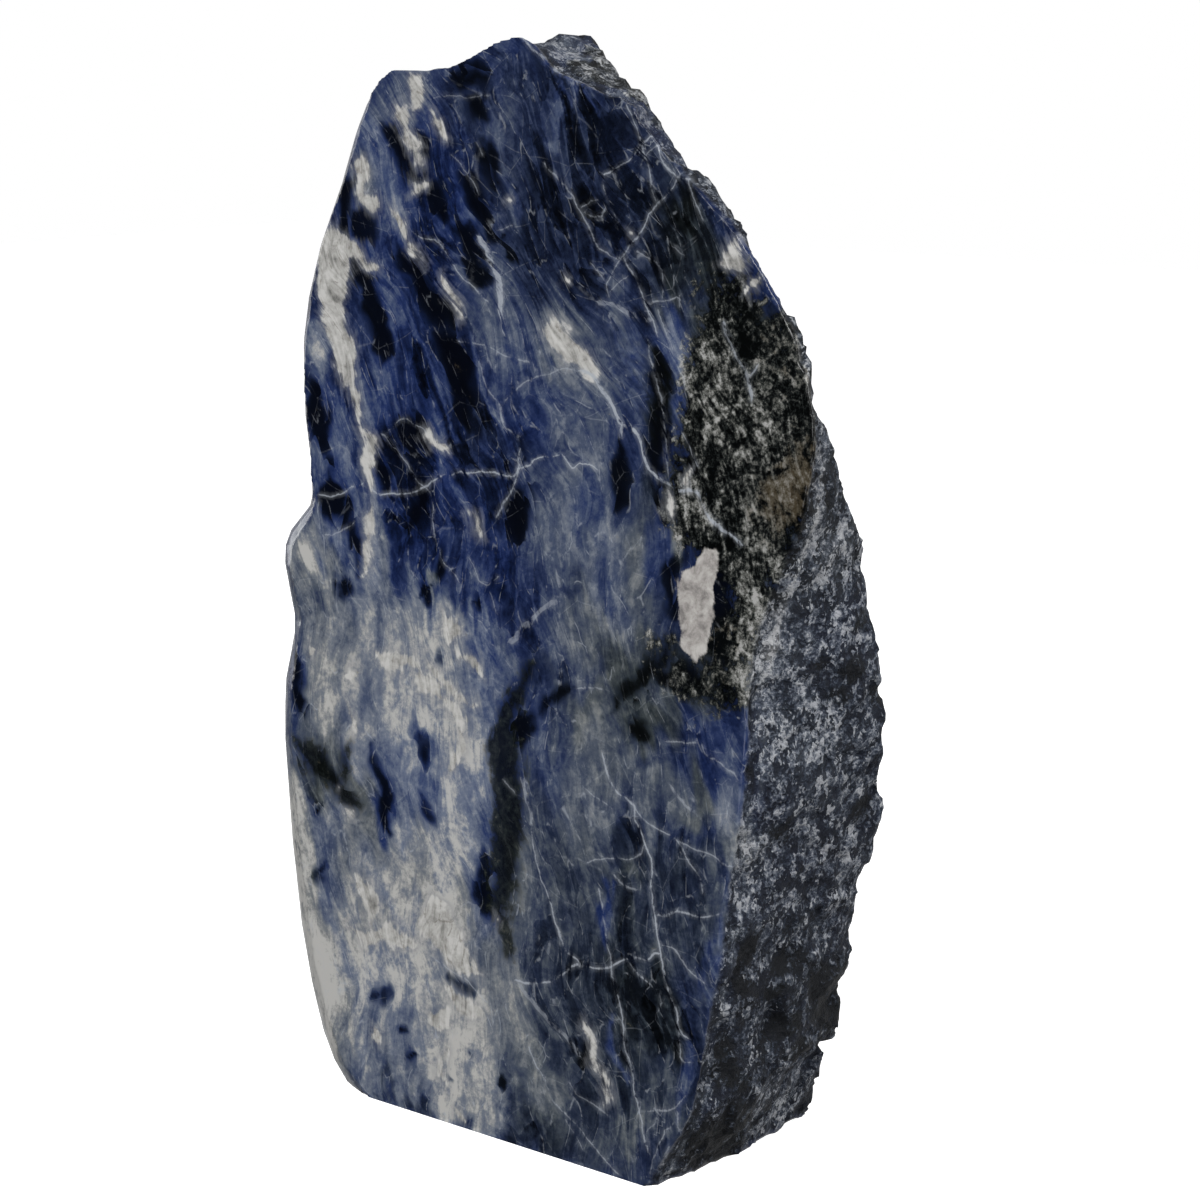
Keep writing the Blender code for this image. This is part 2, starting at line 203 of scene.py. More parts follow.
# Grounds of the face, painted one over another: centre across and up, half its breadth and height, how
# far its top leans to the left in degrees, how pale it is and how grey or green
GROUNDS = [
    (-58, 44, 31, 50, 0, 0.73, 0.4), (-14, 92, 15, 26, 8, 0.58, 0.45), (-8, 30, 19, 34, 10, 0.42, 0.75),
    (-22, 165, 22, 20, 20, 0.34, 0.5), (-61, 177, 7, 6, 0, 0.61, 0.4), (-66, 166, 4, 10, 20, 0.71, 0.1),
    (-64, 160, 4, 9, 22, 0.69, 0.1), (-70, 160, 4, 7, 10, 0.63, 0.6), (-69, 153, 4, 4, 0, 0.61, 0.1),
    (-54, 168, 4, 6, 30, 0.57, 0.1), (-47, 171, 6, 7, 30, 0.37, 0.45), (-36, 174, 7, 9, 25, 0.44, 0.45),
    (-36, 165, 5, 7, 25, 0.4, 0.45), (-54, 152, 9, 6, 35, 0.28, 0), (-62, 141, 2.6, 9, 35, 0.61, 0.05),
    (-57, 131, 7, 10, 25, 0.26, 0), (-43, 143, 6, 6, 30, 0.49, 0.45), (-36, 146, 5, 9, 25, 0.62, 0.45),
    (-34, 156, 4, 5, 20, 0.54, 0.55), (-50, 163, 4, 6, 30, 0.37, 0), (-80, 133, 3.5, 7, 0, 0.8, 0.35),
    (-77, 115, 4, 11, 5, 0.56, 0.1), (-68, 124, 3, 8, 20, 0.69, 0.1), (-63, 124, 4, 8, 28, 0.55, 0),
    (-64, 113, 3, 6, 15, 0.51, 0), (-65, 100, 4, 10, 0, 0.77, 0.2), (-57, 104, 6, 11, 12, 0.24, 0),
    (-60, 118, 4, 5, 30, 0.23, 0.1), (-48, 126, 4, 9, 25, 0.27, 0.1), (-50, 112, 4, 8, 15, 0.33, 0),
    (-42, 128, 4, 8, 30, 0.35, 0.1), (-43, 120, 6, 5, 30, 0.16, 0.4), (-42, 108, 4, 8, 15, 0.39, 0.1),
    (-36, 112, 4, 7, 20, 0.23, 0.2), (-37, 100, 5, 8, 15, 0.37, 0), (-44, 98, 3, 7, 10, 0.45, 0.1),
    (-52, 95, 5, 5, 10, 0.39, 0), (-82, 97, 5, 6, 0, 0.86, 0.9), (-76, 93, 4, 5, 0, 0.74, 0.7),
    (-74, 102, 4, 3, 0, 0.66, 0.1), (-23, 172, 9, 8, 20, 0.2, 0.45), (-32, 172, 3, 8, 25, 0.44, 0.45),
    (-12, 169, 6, 7, 30, 0.29, 0.45), (-4, 167, 4, 5, 40, 0.42, 0.65), (-22, 155, 9, 8, 30, 0.24, 0.45),
    (-30, 160, 4, 8, 30, 0.28, 0.45), (-12, 160, 5, 5, 20, 0.28, 0.55), (-1, 158, 6, 5, 20, 0.22, 1),
    (-8, 151, 4, 6, 15, 0.26, 0.55), (-3, 150, 4, 4, 0, 0.34, 1), (4, 153, 4, 4, 0, 0.38, 1),
    (-30, 148, 4, 8, 30, 0.32, 0.45), (-25, 138, 6, 6, 20, 0.74, 0.75), (-31, 134, 4, 6, 25, 0.57, 0.3),
    (-15, 143, 6, 2.5, 80, 0.58, 0.55), (-12, 137, 4, 7, 10, 0.5, 0.5), (-18, 132, 3, 6, 30, 0.7, 0.6),
    (0, 138, 4, 9, 20, 0.65, 0.1), (-5, 130, 3, 8, 10, 0.34, 1), (0, 128, 2.5, 7, 10, 0.59, 0.1),
    (5, 143, 4, 5, 0, 0.42, 1), (9, 136, 5, 7, 25, 0.67, 1), (15, 141, 4, 5, 30, 0.38, 1),
    (15, 132, 4, 5, 0, 0.65, 1), (21, 134, 4, 8, 20, 0.59, 1), (-26, 128, 5, 5, 20, 0.5, 0.2),
    (-30, 124, 4, 5, 20, 0.35, 0), (-20, 123, 7, 7, 20, 0.62, 0.4), (-33, 119, 3, 3, 0, 0.37, 0.4),
    (-26, 108, 4, 11, 12, 0.54, 0.4), (-17, 105, 8, 14, 10, 0.68, 0.45), (-12, 97, 1.6, 6, 30, 0.52, 0.2),
    (-18, 110, 2.5, 5, 30, 0.58, 0.2), (-12, 117, 2.5, 6, 12, 0.44, 0.4), (-6, 103, 4, 10, 5, 0.62, 0.8),
    (-2.5, 105, 2, 6, 5, 0.5, 0.2), (-4, 113, 3, 4, 10, 0.4, 0.8), (4, 113, 5, 4, 0, 0.73, 1),
    (16, 104, 4, 9, 0, 0.71, 0.85), (8, 123, 6, 8, 10, 0.51, 1), (18, 124, 5, 6, 0, 0.65, 1),
    (14, 114, 4, 4, 0, 0.55, 1), (20, 114, 5, 6, 0, 0.61, 1), (16, 92, 4, 6, 0, 0.73, 0.8),
    (10, 90, 4, 5, 0, 0.49, 1), (-82, 87, 5, 7, 0, 0.62, 0.68), (-75, 83, 7, 7, 0, 0.72, 0.58),
    (-64, 85, 8, 6, 0, 0.76, 0.43), (-53, 84, 9, 7, 0, 0.84, 0.48), (-44, 86, 6, 6, 10, 0.8, 0.43),
    (-73, 73, 8, 8, 0, 0.8, 0.73), (-63, 72, 7, 9, 0, 0.8, 0.43), (-53, 73, 7, 7, 10, 0.84, 0.33),
    (-44, 70, 6, 9, 10, 0.86, 0.43), (-83, 72, 1.8, 8, 0, 0.44, 0.08), (-76, 64, 5, 4, 0, 0.64, 0.88),
    (-66, 62, 5, 7, 5, 0.7, 0.38), (-56, 60, 5, 8, 12, 0.74, 0.13), (-47, 58, 5, 9, 10, 0.87, 0.18),
    (-40, 60, 4, 10, 5, 0.74, 0.13), (-38, 74, 3, 10, 5, 0.74, 0.23), (-39, 86, 3, 7, 10, 0.62, 0.08),
    (-76, 56, 6, 4, 40, 0.4, 1), (-67, 51, 8, 5, 0, 0.68, 1), (-60, 53, 2.5, 7, 10, 0.59, 0.08),
    (-52, 55, 2.5, 6, 25, 0.69, 0.08), (-29, 90, 4, 8, 12, 0.38, 0.2), (-22, 92, 4, 7, 10, 0.58, 0.4),
    (-15, 91, 6, 6, 10, 0.62, 0.75), (-24, 83, 4, 5, 20, 0.42, 0.5), (-8, 87, 6, 5, 20, 0.48, 1),
    (-17, 76, 6, 5, 0, 0.62, 0.95), (-12, 71, 6, 5, 10, 0.66, 0.7), (-4, 80, 7, 5, 10, 0.46, 1),
    (6, 83, 7, 5, 0, 0.49, 0.95), (6, 75, 7, 5, 70, 0.41, 0.15), (-1, 68, 7, 5, 10, 0.64, 0.7),
    (7, 65, 5, 3, 20, 0.63, 0.95), (-25, 65, 2.5, 5, 8, 0.46, 0.2), (-17, 62, 7, 7, 10, 0.67, 0.65),
    (13, 67, 3, 7, 0, 0.71, 0.35), (15, 59, 4, 4, 0, 0.68, 0.82), (-5.5, 57.6, 4, 2.6, 10, 0.38, 0.82),
    (4, 54, 6, 4.5, 15, 0.4, 0.72), (-6, 51.5, 4, 2.5, 10, 0.49, 0.92), (10, 49, 5, 2.5, 90, 0.58, 0.72),
    (-26, 53, 3, 8, 10, 0.55, 0.6), (-17, 54, 6, 4, 0, 0.63, 0.72), (-36, 50, 3, 9, 5, 0.62, 0.18),
    (-79, 47, 3, 7, 5, 0.63, 0.42), (-71, 45, 5, 5, 0, 0.69, 0.32), (-62, 46, 7, 4, 0, 0.77, 0.82),
    (-52, 46, 8, 4, 0, 0.83, 0.62), (-44, 48, 5, 6, 5, 0.89, 0.32), (-67, 40, 5, 4, 0, 0.79, 0.72),
    (-60, 38, 6, 4, 0, 0.83, 0.37), (-73, 35, 3, 9, 5, 0.71, 0.27), (-52, 40, 6, 4, 0, 0.87, 0.62),
    (-46, 35, 7, 7, 10, 0.93, 0.92), (-56, 34, 4, 3, 0, 0.75, 0.17), (-64, 31, 7, 3, 0, 0.85, 0.82),
    (-71, 24, 3, 8, 5, 0.77, 0.27), (-61, 23, 8, 6, 0, 0.85, 0.27), (-51, 23, 6, 5, 0, 0.81, 0.37),
    (-44, 20, 6, 6, 10, 0.93, 0.62), (-37, 26, 5, 4, 10, 0.91, 0.57), (-36, 20, 5, 5, 10, 0.93, 0.62),
    (-56, 13, 9, 5, 0, 0.81, 0.32), (-44, 11, 5, 6, 0, 0.93, 0.57), (-35, 12, 5, 6, 10, 0.89, 0.47),
    (-53, 5, 9, 3, 0, 0.69, 0.42), (-38, 5, 6, 4, 0, 0.83, 0.57), (-52, 0.5, 14, 2, 0, 0.49, 0.62),
    (-38, 42, 3, 7, 5, 0.67, 0.22), (-33, 29, 5, 8, 5, 0.67, 0.7), (-27, 22, 4, 7, 15, 0.72, 0.8),
    (-21, 15, 5, 5, 25, 0.66, 0.82), (-28, 12, 4, 5, 10, 0.64, 0.7), (-22, 6, 6, 5, 20, 0.5, 1),
    (-19, 46, 6, 5, 10, 0.55, 0.72), (-13, 45, 4, 6, 10, 0.55, 0.72), (-20, 34, 5, 6, 10, 0.42, 0.72),
    (-15, 39, 5, 3, 10, 0.49, 0.72), (-8, 42, 4, 4, 15, 0.43, 1), (-5, 31, 5, 6, 15, 0.3, 1),
    (1, 36, 3.5, 3, 10, 0.28, 1), (2, 29, 4, 6, 15, 0.28, 1), (3.5, 21, 3, 4, 10, 0.28, 1),
    (-10, 28, 3, 7, 15, 0.36, 0.82), (-15, 29, 3, 5, 15, 0.36, 0.72), (-18, 22, 2.4, 8, 33, 0.46, 0.72),
    (-12, 20, 3, 6, 20, 0.42, 0.72), (-6, 18, 3, 7, 15, 0.4, 0.72), (0, 14, 3, 5, 10, 0.44, 0.72),
    (5, 12, 4, 6, 10, 0.5, 0.72), (-9.5, 6, 4, 4, 20, 0.46, 0.72), (-14, 9, 4, 4, 30, 0.5, 0.72),
    (-2.5, 6.5, 3, 3, 20, 0.62, 0.82), (9, 41, 3, 8, 0, 0.46, 0.72), (5, 44, 4, 4, 10, 0.42, 0.72),
    # The last two grounds on the next line, low on the left edge, are painted reflection: the pale sheen of
    # the worn bevel
    (8, 34, 3, 6, 10, 0.42, 0.72), (-83.5, 38, 4, 17, 8, 0.95, 0.9), (-77, 17, 4, 13, 25, 0.95, 0.9),
    (-30, 45, 3, 12, 5, 0.66, 0.8), (-1.5, 28, 5, 7.5, 10, 0.24, 0.85), (-7.5, 40, 2.5, 4.5, 10, 0.26, 0.7),
    (-7, 57.5, 3.5, 3, 0, 0.3, 0.6), (-23.5, 4, 6.5, 4, 0, 0.3, 0.7), (8, 28, 2.5, 10, 0, 0.3, 0.4),
]

# How pale and how grey the face is where nothing is painted
UNPAINTED = (0.42, 0.2)

# Soft bands on the face, over the grounds: half the width, how pale, how grey or green, then the line
BANDS = [
    (1.3, 0.66, 0.05, -79.5, 127, -76.5, 122, -75, 117, -72, 112, -70, 106),
    (0.7, 0.62, 0.1, -65, 146, -61, 142, -57, 138, -53, 135.5, -51, 131, -49.6, 126, -47, 121),
    (1, 0.58, 0.05, -56, 123, -52, 120, -49.6, 115, -47, 110, -45, 104),
    (0.8, 0.62, 0.1, -69, 150, -64, 147, -62.6, 143), (0.8, 0.6, 0.1, -55.5, 157, -53, 154.5, -49.5, 155),
    (0.6, 0.58, 0.1, -49, 165, -45.5, 158, -42, 152.5), (0.7, 0.62, 0.4, -44, 172, -38, 166, -35, 158),
    (0.8, 0.7, 0.3, -43.6, 137, -40.6, 131, -37.5, 126.5), (0.9, 0.7, 0.5, -64, 104, -63, 97, -62, 90),
    (0.9, 0.66, 0.9, -52.5, 99, -51, 97, -50, 94), (0.8, 0.64, 0.2, -57, 90, -50, 89.4, -47, 92),
    (0.7, 0.66, 0.1, -81.6, 73.5, -79, 75),
    (0.6, 0.64, 0.1, -57.6, 67, -56, 70, -53, 70, -51, 66, -50.4, 60),
    (0.7, 0.74, 0.3, -46.4, 54, -45, 51, -44.6, 47), (0.6, 0.72, 0.2, -37.4, 72, -36.8, 67, -34, 63.4),
    (0.8, 0.72, 0.2, -42, 48, -41, 43, -40, 37), (0.5, 0.56, 0.3, -16, 141.5, -13, 142, -9.6, 141.4),
    (0.4, 0.56, 0.2, -16, 139, -12, 139.4, -8.8, 138.8), (0.4, 0.56, 0.2, -15, 136.8, -12, 137, -8, 136),
    (0.4, 0.56, 0.2, -14.6, 134.5, -11, 134.2, -8, 133.4),
    (0.4, 0.56, 0.2, -13, 132.5, -10, 131.6, -7.6, 131.8), (0.4, 0.52, 0.6, -7, 133.6, -3, 132.8),
    (0.4, 0.52, 0.6, -6.4, 129, -2.4, 128.2), (0.6, 0.58, 0.2, -30, 181, -24, 180, -18, 178),
    (0.5, 0.6, 0.3, -29.6, 176.6, -28, 173.4, -30, 170), (1.2, 0.58, 0.3, -30, 78, -27.6, 74, -26.6, 71),
    (0.6, 0.48, 0, -12, 44, -13, 48, -10, 50.4), (0.5, 0.55, 0.1, -9, 27, -7, 22, -5.6, 17),
    (0.5, 0.5, 0.2, 11.2, 50, 11, 40, 10.6, 33), (0.4, 0.5, 0.2, 13.2, 48, 12.8, 40, 12.2, 34),
    (0.5, 0.5, 0.2, 6.4, 25, 6.8, 18, 6.2, 12),
    # This last band is painted reflection: the pale grey sheen along the polished worn bevel low on the
    # left
    (2.2, 0.97, 0.9, -82.6, 53, -80.6, 45, -78.8, 35, -76.6, 27, -73, 22, -70.6, 17, -67.4, 9.5),
]

# Patches of salt and pepper, and of rust: centre, half the breadth and height, lean, strength
MOTTLE = [
    (12, 136, 10, 9, 20, 0.85), (15, 122, 9, 13, 0, 1), (6, 128, 6, 14, 0, 0.9), (14, 110, 7, 8, 0, 1),
    (8, 148, 7, 7, 30, 0.6), (15, 96, 5, 10, 0, 0.8), (9, 86, 8, 6, 0, 0.65), (5, 114, 6, 7, 0, 0.9),
    (22, 128, 6, 20, 0, 1), (-2, 90, 4, 5, 0, 0.5), (1, 116, 5, 8, 0, 0.5),
]
RUST = [
    (20, 116, 6, 7, 0, 0.85), (20, 138, 6, 8, 30, 0.4), (11, 93, 3, 4, 0, 0.45), (9, 86, 3, 4, 0, 0.35),
    (24, 124, 4, 6, 0, 0.5), (-76, 58, 5, 4, 0, 0.3), (-61, 32, 5, 4, 0, 0.25), (-44, 89, 2, 2, 0, 0.4),
]

# White hairlines in the face: half the width, how pale, then the line
VEINS = [
    (0.14, 0.7, -58, 155, -56, 153.5, -54, 153.2, -52, 152.2, -50, 150.8, -48.5, 149.5, -47, 147.5,
        -45, 146, -43, 144.5, -41, 143),
    (0.12, 0.35, -55, 176.5, -51, 177.3, -47, 177.2, -42, 177.6),
    (0.12, 0.5, -50, 167, -48, 165.5, -45, 163, -43.5, 161), (0.12, 0.4, -45, 170, -43, 167.5),
    (0.55, 0.85, -43, 154, -41.5, 152.5, -40.5, 150, -39.5, 148, -39, 145, -38.5, 142, -37.5, 140,
        -37, 138.5),
    (0.12, 0.5, -40, 155.5, -36, 156),
    (0.2, 0.5, -37, 187, -34, 185.3, -31.5, 183.7, -30, 182.8, -28.5, 181.3, -25, 181, -23, 180, -20, 178.8,
        -17, 178, -14, 178.3),
    (0.14, 0.5, -13.5, 177, -9, 176), (0.14, 0.5, -43, 134.5, -41.5, 131.5, -40, 129, -38.5, 127.5),
    (0.14, 0.6, -47, 137, -45, 136.3, -41, 136.2, -39, 135.5, -34, 134.5, -31, 133.7),
    (0.2, 0.6, -38, 127, -37.3, 124.5, -36, 123.2, -34.5, 122.5, -32, 121.5),
    (0.14, 0.55, -37, 127.5, -36, 128.5, -33, 130, -30, 131.6, -27, 132.5, -25, 133.5, -19, 133.5),
    (0.14, 0.8, -78.5, 107, -76, 107, -72.5, 108.5, -70, 109.5, -68, 110),
    (0.15, 0.95, -66, 109, -64, 108, -60, 109, -55.5, 110.2, -52, 112.3, -49, 113.5, -46, 114.8, -38, 115,
        -34, 115.1, -33, 116.3, -30, 116.5, -29, 117.5, -27.5, 118.7, -24, 119.2, -22.5, 117.7,
        -21.5, 116.8, -20, 118.2, -17.5, 118.8, -16, 118),
    (0.12, 0.6, -77.5, 100, -75, 100.3, -73, 101.8, -70, 103.3), (0.12, 0.5, -78.5, 106, -78, 101),
    (0.12, 0.55, -62.5, 120.2, -60.5, 121.8, -58.5, 122.6, -55, 121, -54, 120),
    (0.13, 0.6, -64, 119.5, -62, 118.7, -60, 117.3, -58, 115.3, -56, 113.2, -54.5, 111.5, -53, 110.5,
        -52, 108.8, -51.5, 106.5, -50.5, 103.5, -49, 99.5, -48, 98, -45, 95.5),
    (0.18, 0.7, -32, 119.5, -32.8, 117.2, -33.5, 115, -35, 112, -36.5, 109.5, -37.5, 107.5),
    (0.12, 0.5, -43, 100.5, -41.5, 98, -40.5, 96, -38, 96, -36, 98),
    (0.12, 0.5, -38, 95, -36.5, 92.5, -35.5, 91), (0.12, 0.5, -43, 91, -40, 90, -38, 87.5),
    (0.5, 0.45, -33.5, 86.5, -32, 88, -30.5, 90, -29, 91, -27, 93, -25, 94.8, -23.5, 95),
    (0.34, 0.95, -20, 133.5, -18, 133, -16, 131, -14.5, 129.5, -13, 128, -12, 125.8),
    (0.26, 1, -12, 125.8, -10, 125.2, -8.5, 124, -7.5, 122.5, -6.5, 120.5, -5.5, 119, -4, 118.2, -2, 117.2,
        -0.5, 116.3, 2, 116.5, 3.5, 116, 5, 114.5, 7, 112.3, 9, 111, 11, 110, 12.5, 109),
    (0.3, 0.8, -12, 125.8, -12, 123.5),
    (0.14, 0.75, -13.5, 176, -12, 173.5, -11, 171.5, -10, 169.5, -9, 167, -8, 164.5, -7, 162),
    (0.16, 0.85, -7, 172, -8.5, 171, -10, 169.8, -12, 168, -14, 167, -17.5, 165.2),
    (0.12, 0.55, -6.5, 170, -9, 168, -10.5, 166.5),
    (0.15, 0.75, -6.8, 171.5, -6.5, 169, -6, 167.5, -4.5, 166.3, -3.5, 165.5, -4, 164, -5, 163, -7, 161.2,
        -8.5, 159.3, -9.3, 157.5, -10, 156, -11.5, 154, -12.3, 152.3, -10.5, 149.5, -9, 147, -7.5, 144.5,
        -6.8, 143, -5.5, 140),
    (0.14, 0.6, -12.3, 152.3, -14, 150, -15.8, 148, -14.8, 145.8), (0.12, 0.5, -11, 149.5, -14.5, 146.8),
    (0.13, 0.6, -30, 166.3, -28, 165, -26, 163.7, -24.5, 162, -22, 158.8, -20.5, 156.8, -19, 155,
        -17, 153.8, -13, 151.5),
    (0.12, 0.5, -22, 159.8, -20, 160.8, -18.5, 161),
    (0.12, 0.5, -21.5, 159, -20, 158.3, -18, 158.2, -17, 160),
    (0.13, 0.55, -17.5, 164, -16, 161, -15, 158.5, -13, 154.5),
    (0.12, 0.5, -20, 151.5, -18.5, 150, -16.5, 148.5),
    (0.12, 0.55, -3.5, 165.5, -1, 164.8, 0, 163, 1, 161, 2.3, 158.5),
    (0.12, 0.5, -1.5, 165.5, 1.5, 164, 4, 162.8), (0.12, 0.5, -10, 153.5, -7, 152.5, -5.5, 151, -4.6, 147),
    (0.16, 0.6, -8, 145.5, -5.5, 146.2, -1, 147, -1, 145),
    (0.14, 0.5, -5.5, 145, -4.5, 142, -3, 139.5, -1.5, 137, 0, 134.5, 1.5, 130),
    (0.4, 0.4, -17.5, 145, -14, 144.5, -11, 143.3, -7, 142.8),
    (0.14, 0.6, -7.5, 140, -6.5, 137.5, -5.7, 135, -5, 132, -4.2, 129.5, -3.5, 127, -2.5, 123, -1.8, 118),
    (0.13, 0.55, 0, 125.7, 1, 124.5, 2.5, 122.5, 4, 120.5),
    (0.3, 0.7, 7, 143.5, 8, 141.5, 10, 139, 11.5, 136.5, 12.8, 134, 14, 131.5),
    (0.2, 0.6, 12.8, 135, 14, 137), (0.12, 0.4, -3.5, 154.5, -1, 153),
    (0.2, 0.9, -13, 71.5, -12, 70, -11, 68, -10, 66, -9, 64.7, -7, 63.7, -5.5, 63, -5.5, 61, -4, 59.8,
        -3.3, 58.5, -3, 57, -2, 55, -1.7, 53, -1.2, 50.5, -0.6, 47.5, 0, 46, 0.5, 43, 1.2, 40, 2, 38,
        3.3, 35, 3.5, 34),
    (0.15, 0.7, -6, 63.5, -3.5, 61.8, -1, 60.7, 1, 60, 3, 59.3, 4.5, 58.3, 5.5, 57, 7, 55.5, 9, 52),
    (0.14, 0.6, -16.5, 64.8, -13.5, 63.3, -10.5, 62.2),
    (0.15, 0.6, -15, 52.5, -11, 54, -7, 55, -4, 55.8, -3.3, 57),
    (0.25, 0.5, 1, 68, 4, 66, 6, 65.3, 8, 64.3), (0.14, 0.6, 4, 59, 10, 57.8, 14, 57),
    (0.14, 0.6, 0, 75.5, 3, 76, 6, 76), (0.14, 0.6, 7, 76, 9, 74.5, 12, 73.5, 14, 72.5, 15, 71),
    (0.14, 0.6, -19, 81.2, -17, 82, -15, 82.2, -13.5, 81.7), (0.12, 0.5, -34, 63.5, -31, 61),
    (0.3, 0.6, -29.5, 64, -28, 60, -27.5, 58, -27, 55.5),
    (0.16, 0.8, -27, 55.5, -26.3, 53, -25.8, 50, -25, 47.8, -23.5, 46, -22.3, 44, -21.5, 42, -20.3, 38.5,
        -19.5, 37, -18.5, 35.7, -15, 34.3),
    (0.2, 0.9, -29, 28.5, -27, 28.8, -24, 29.8, -20.5, 31, -18.5, 32.5, -16.5, 33.8, -14, 34.5, -11, 35.4,
        -8.5, 36.3, -6, 37.5, -4, 38.3, -2, 38.8, -0.5, 40, 1, 40.3),
    (0.17, 0.8, -12, 48, -10.8, 43, -10, 40.5, -9.3, 37.5, -9, 35, -8, 32.5, -7, 29.5, -6.2, 27, -5.5, 25,
        -5, 22.5, -4.5, 20, -3.5, 17.5, -2.7, 15, -1.3, 11, -0.5, 7.5, 0.5, 5.5),
    (0.17, 0.85, -5, 37, -3, 35.8, -1.5, 34.9, 0.5, 34.3, 3, 33.8, 4, 33, 4.8, 31, 5.2, 29, 6, 27.7,
        7.5, 27.2),
    (0.13, 0.6, 5.2, 29, 6, 25, 6, 23.5, 6.8, 22.8, 8, 23),
    (0.14, 0.7, 1.5, 42, 3.5, 42, 5, 40.3, 6.5, 39, 10, 37), (0.12, 0.5, 1.5, 34, 1.8, 32, 1, 30.5),
    (0.18, 0.8, 0.5, 46.5, 2, 47, 3.5, 48, 9, 48, 12, 49), (0.22, 0.5, -9, 51.5, -6, 50.2, -4, 49.8),
    (0.14, 0.7, 0, 12.7, 2, 13.5, 4, 14.3, 5.5, 15.3, 7.5, 17.5), (0.13, 0.6, 5.8, 15, 6, 13, 6.3, 11.2),
    (0.13, 0.6, 2, 13, 1.5, 11, 0, 9), (0.13, 0.6, 5, 12.5, 3.5, 10.5, 2.5, 8, 1.5, 5, 0.5, 2.5),
    (0.13, 0.5, 4.5, 8, 2.5, 3),
    (0.15, 0.7, -26, 18, -24.5, 16.5, -21.5, 13, -20.5, 11.3, -19.5, 9.8, -18, 8.6, -13.5, 6, -11.5, 4.8,
        -8, 2, -5.5, 0.8),
    (0.13, 0.5, -17, 7, -13.5, 3), (0.13, 0.55, -17, 13.5, -15, 12.2, -12, 11.7, -7.5, 10.3),
    (0.45, 0.4, -28, 28, -24, 25, -21, 23, -18.5, 22, -15, 19),
    (0.16, 0.6, -47, 28.5, -43, 28, -40, 27, -37, 25, -35, 24),
]

# The veins are stored in layers, with this gap between the veins of one layer where there is room; how
# far from a vein its distance is stored, and the half-width that stands for no vein
VEIN_LAYERS = 3
VEIN_GAP = 2.6
VEIN_REACH = 1.3
NO_VEIN = -2.0

# The same kinds of marks and patches on the broken right side: back from the face and up
SIDE_DARK_AND_SHADE = [
    (1.5, 9.5, 90, 11, 87.5), (1.8, 15.5, 97, 17.5, 94), (0.9, 13.4, 84.5, 13.4, 82),
    (1.6, 15.5, 90, 15, 86), (1.5, 6, 62, 9.5, 60), (1.7, 22.5, 64, 26, 61.5), (1.5, 20.6, 83.6, 25.4, 82),
    (1.6, 31, 63, 33, 61), (1.8, 2, 38, 7, 42, 9, 44), (1.6, 5, 37, 8, 36),
    (1.7, 12.4, 36.4, 16, 37, 19.5, 38.6), (1.5, 12, 33.4, 15.6, 33), (2.2, 17, 28, 18.6, 25, 17.4, 23),
    (1.6, 21.6, 22, 23, 19), (1.6, 5, 27, 5.2, 22), (1.6, 0.6, 21.4, 3, 19.6),
    # The last two marks on the next line are painted shade: the gap under an overhang and the undercut at
    # the foot
    (1.7, 8, 13, 12, 10, 15, 7.6), (4.2, 22, 35, 29, 28, 37, 20), (4.6, 2, 10, 11, 6.5, 19, 0),
    (2, 0, 28, 6, 20, 11, 17), (2.2, 31, 96, 36, 93), (2.2, 23, 96, 28, 95), (2, 38, 84, 44, 80),
    (2.4, 20, 137, 25, 134), (2.4, 12, 134, 8, 132), (2, 28, 142, 33, 140),
]
SIDE_PALE = [
    (22, 104, 6, 3.5, 0, 0.8), (33, 102, 8, 4.5, 0, 0.95), (9, 108, 4, 4, 0, 0.8), (22, 88, 3, 3, 0, 0.6),
    (3, 58, 4, 5, 0, 0.7), (2.6, 50, 2.2, 2.2, 0, 0.6), (10, 24, 4, 6, 0, 0.35), (1.4, 26, 1.8, 4, 0, 0.6),
    (21, 12, 8, 4, 60, 0.9), (31, 7, 8, 4, 60, 0.9), (7, 17, 3, 3, 0, 0.5), (39, 32, 6, 4, 0, 0.5),
    (26, 50, 4, 5, 0, 0.35), (13, 70, 8, 9, 0, 0.35), (7, 78, 6, 6, 0, 0.45), (30, 72, 9, 8, 0, 0.3),
    (18, 130, 5, 2.5, 60, 0.8), (29, 131, 3, 4, 0, 0.7), (28, 145, 5, 3, 60, 0.5), (16, 117, 8, 4, 60, 0.5),
    (37, 48, 6, 6, 0, 0.3), (25, 40, 5, 5, 0, 0.25), (4, 86, 5, 6, 0, 0.5), (5, 98, 4, 8, 0, 0.45),
]
SIDE_BLUE = [
    (1.2, 74, 2, 2, 0, 0.9), (2, 65.5, 3, 2.5, 0, 0.8), (6, 65, 3, 3, 0, 0.7), (13, 55, 5, 3, 0, 0.4),
    (18, 100, 4, 2.5, 0, 0.7), (13, 96, 5, 5, 0, 0.6), (28, 42, 4, 5, 0, 0.5), (37, 41, 5, 3, 0, 0.5),
    (26, 74, 3, 6, 0, 0.4), (36, 88, 8, 6, 0, 0.4), (3, 12, 5, 5, 0, 0.5), (30, 16, 8, 4, 0, 0.4),
]
SIDE_RUST = [
    (3, 117, 4, 6, 0, 0.8), (32, 112, 9, 5, 60, 0.8), (18, 126, 9, 4, 60, 0.6), (20, 134, 6, 3, 60, 0.35),
    (6, 138, 5, 5, 0, 0.4), (41, 108, 3, 6, 0, 0.6),
]


def smooth(value, low, high):
    """From 0 at low to 1 at high, with level ends."""
    share = np.clip((value - low) / (high - low), 0.0, 1.0)
    return share * share * (3 - 2 * share)


def placed(name, data):
    """A new object in the scene."""
    made = bpy.data.objects.new(name, data)
    bpy.context.scene.collection.objects.link(made)
    return made


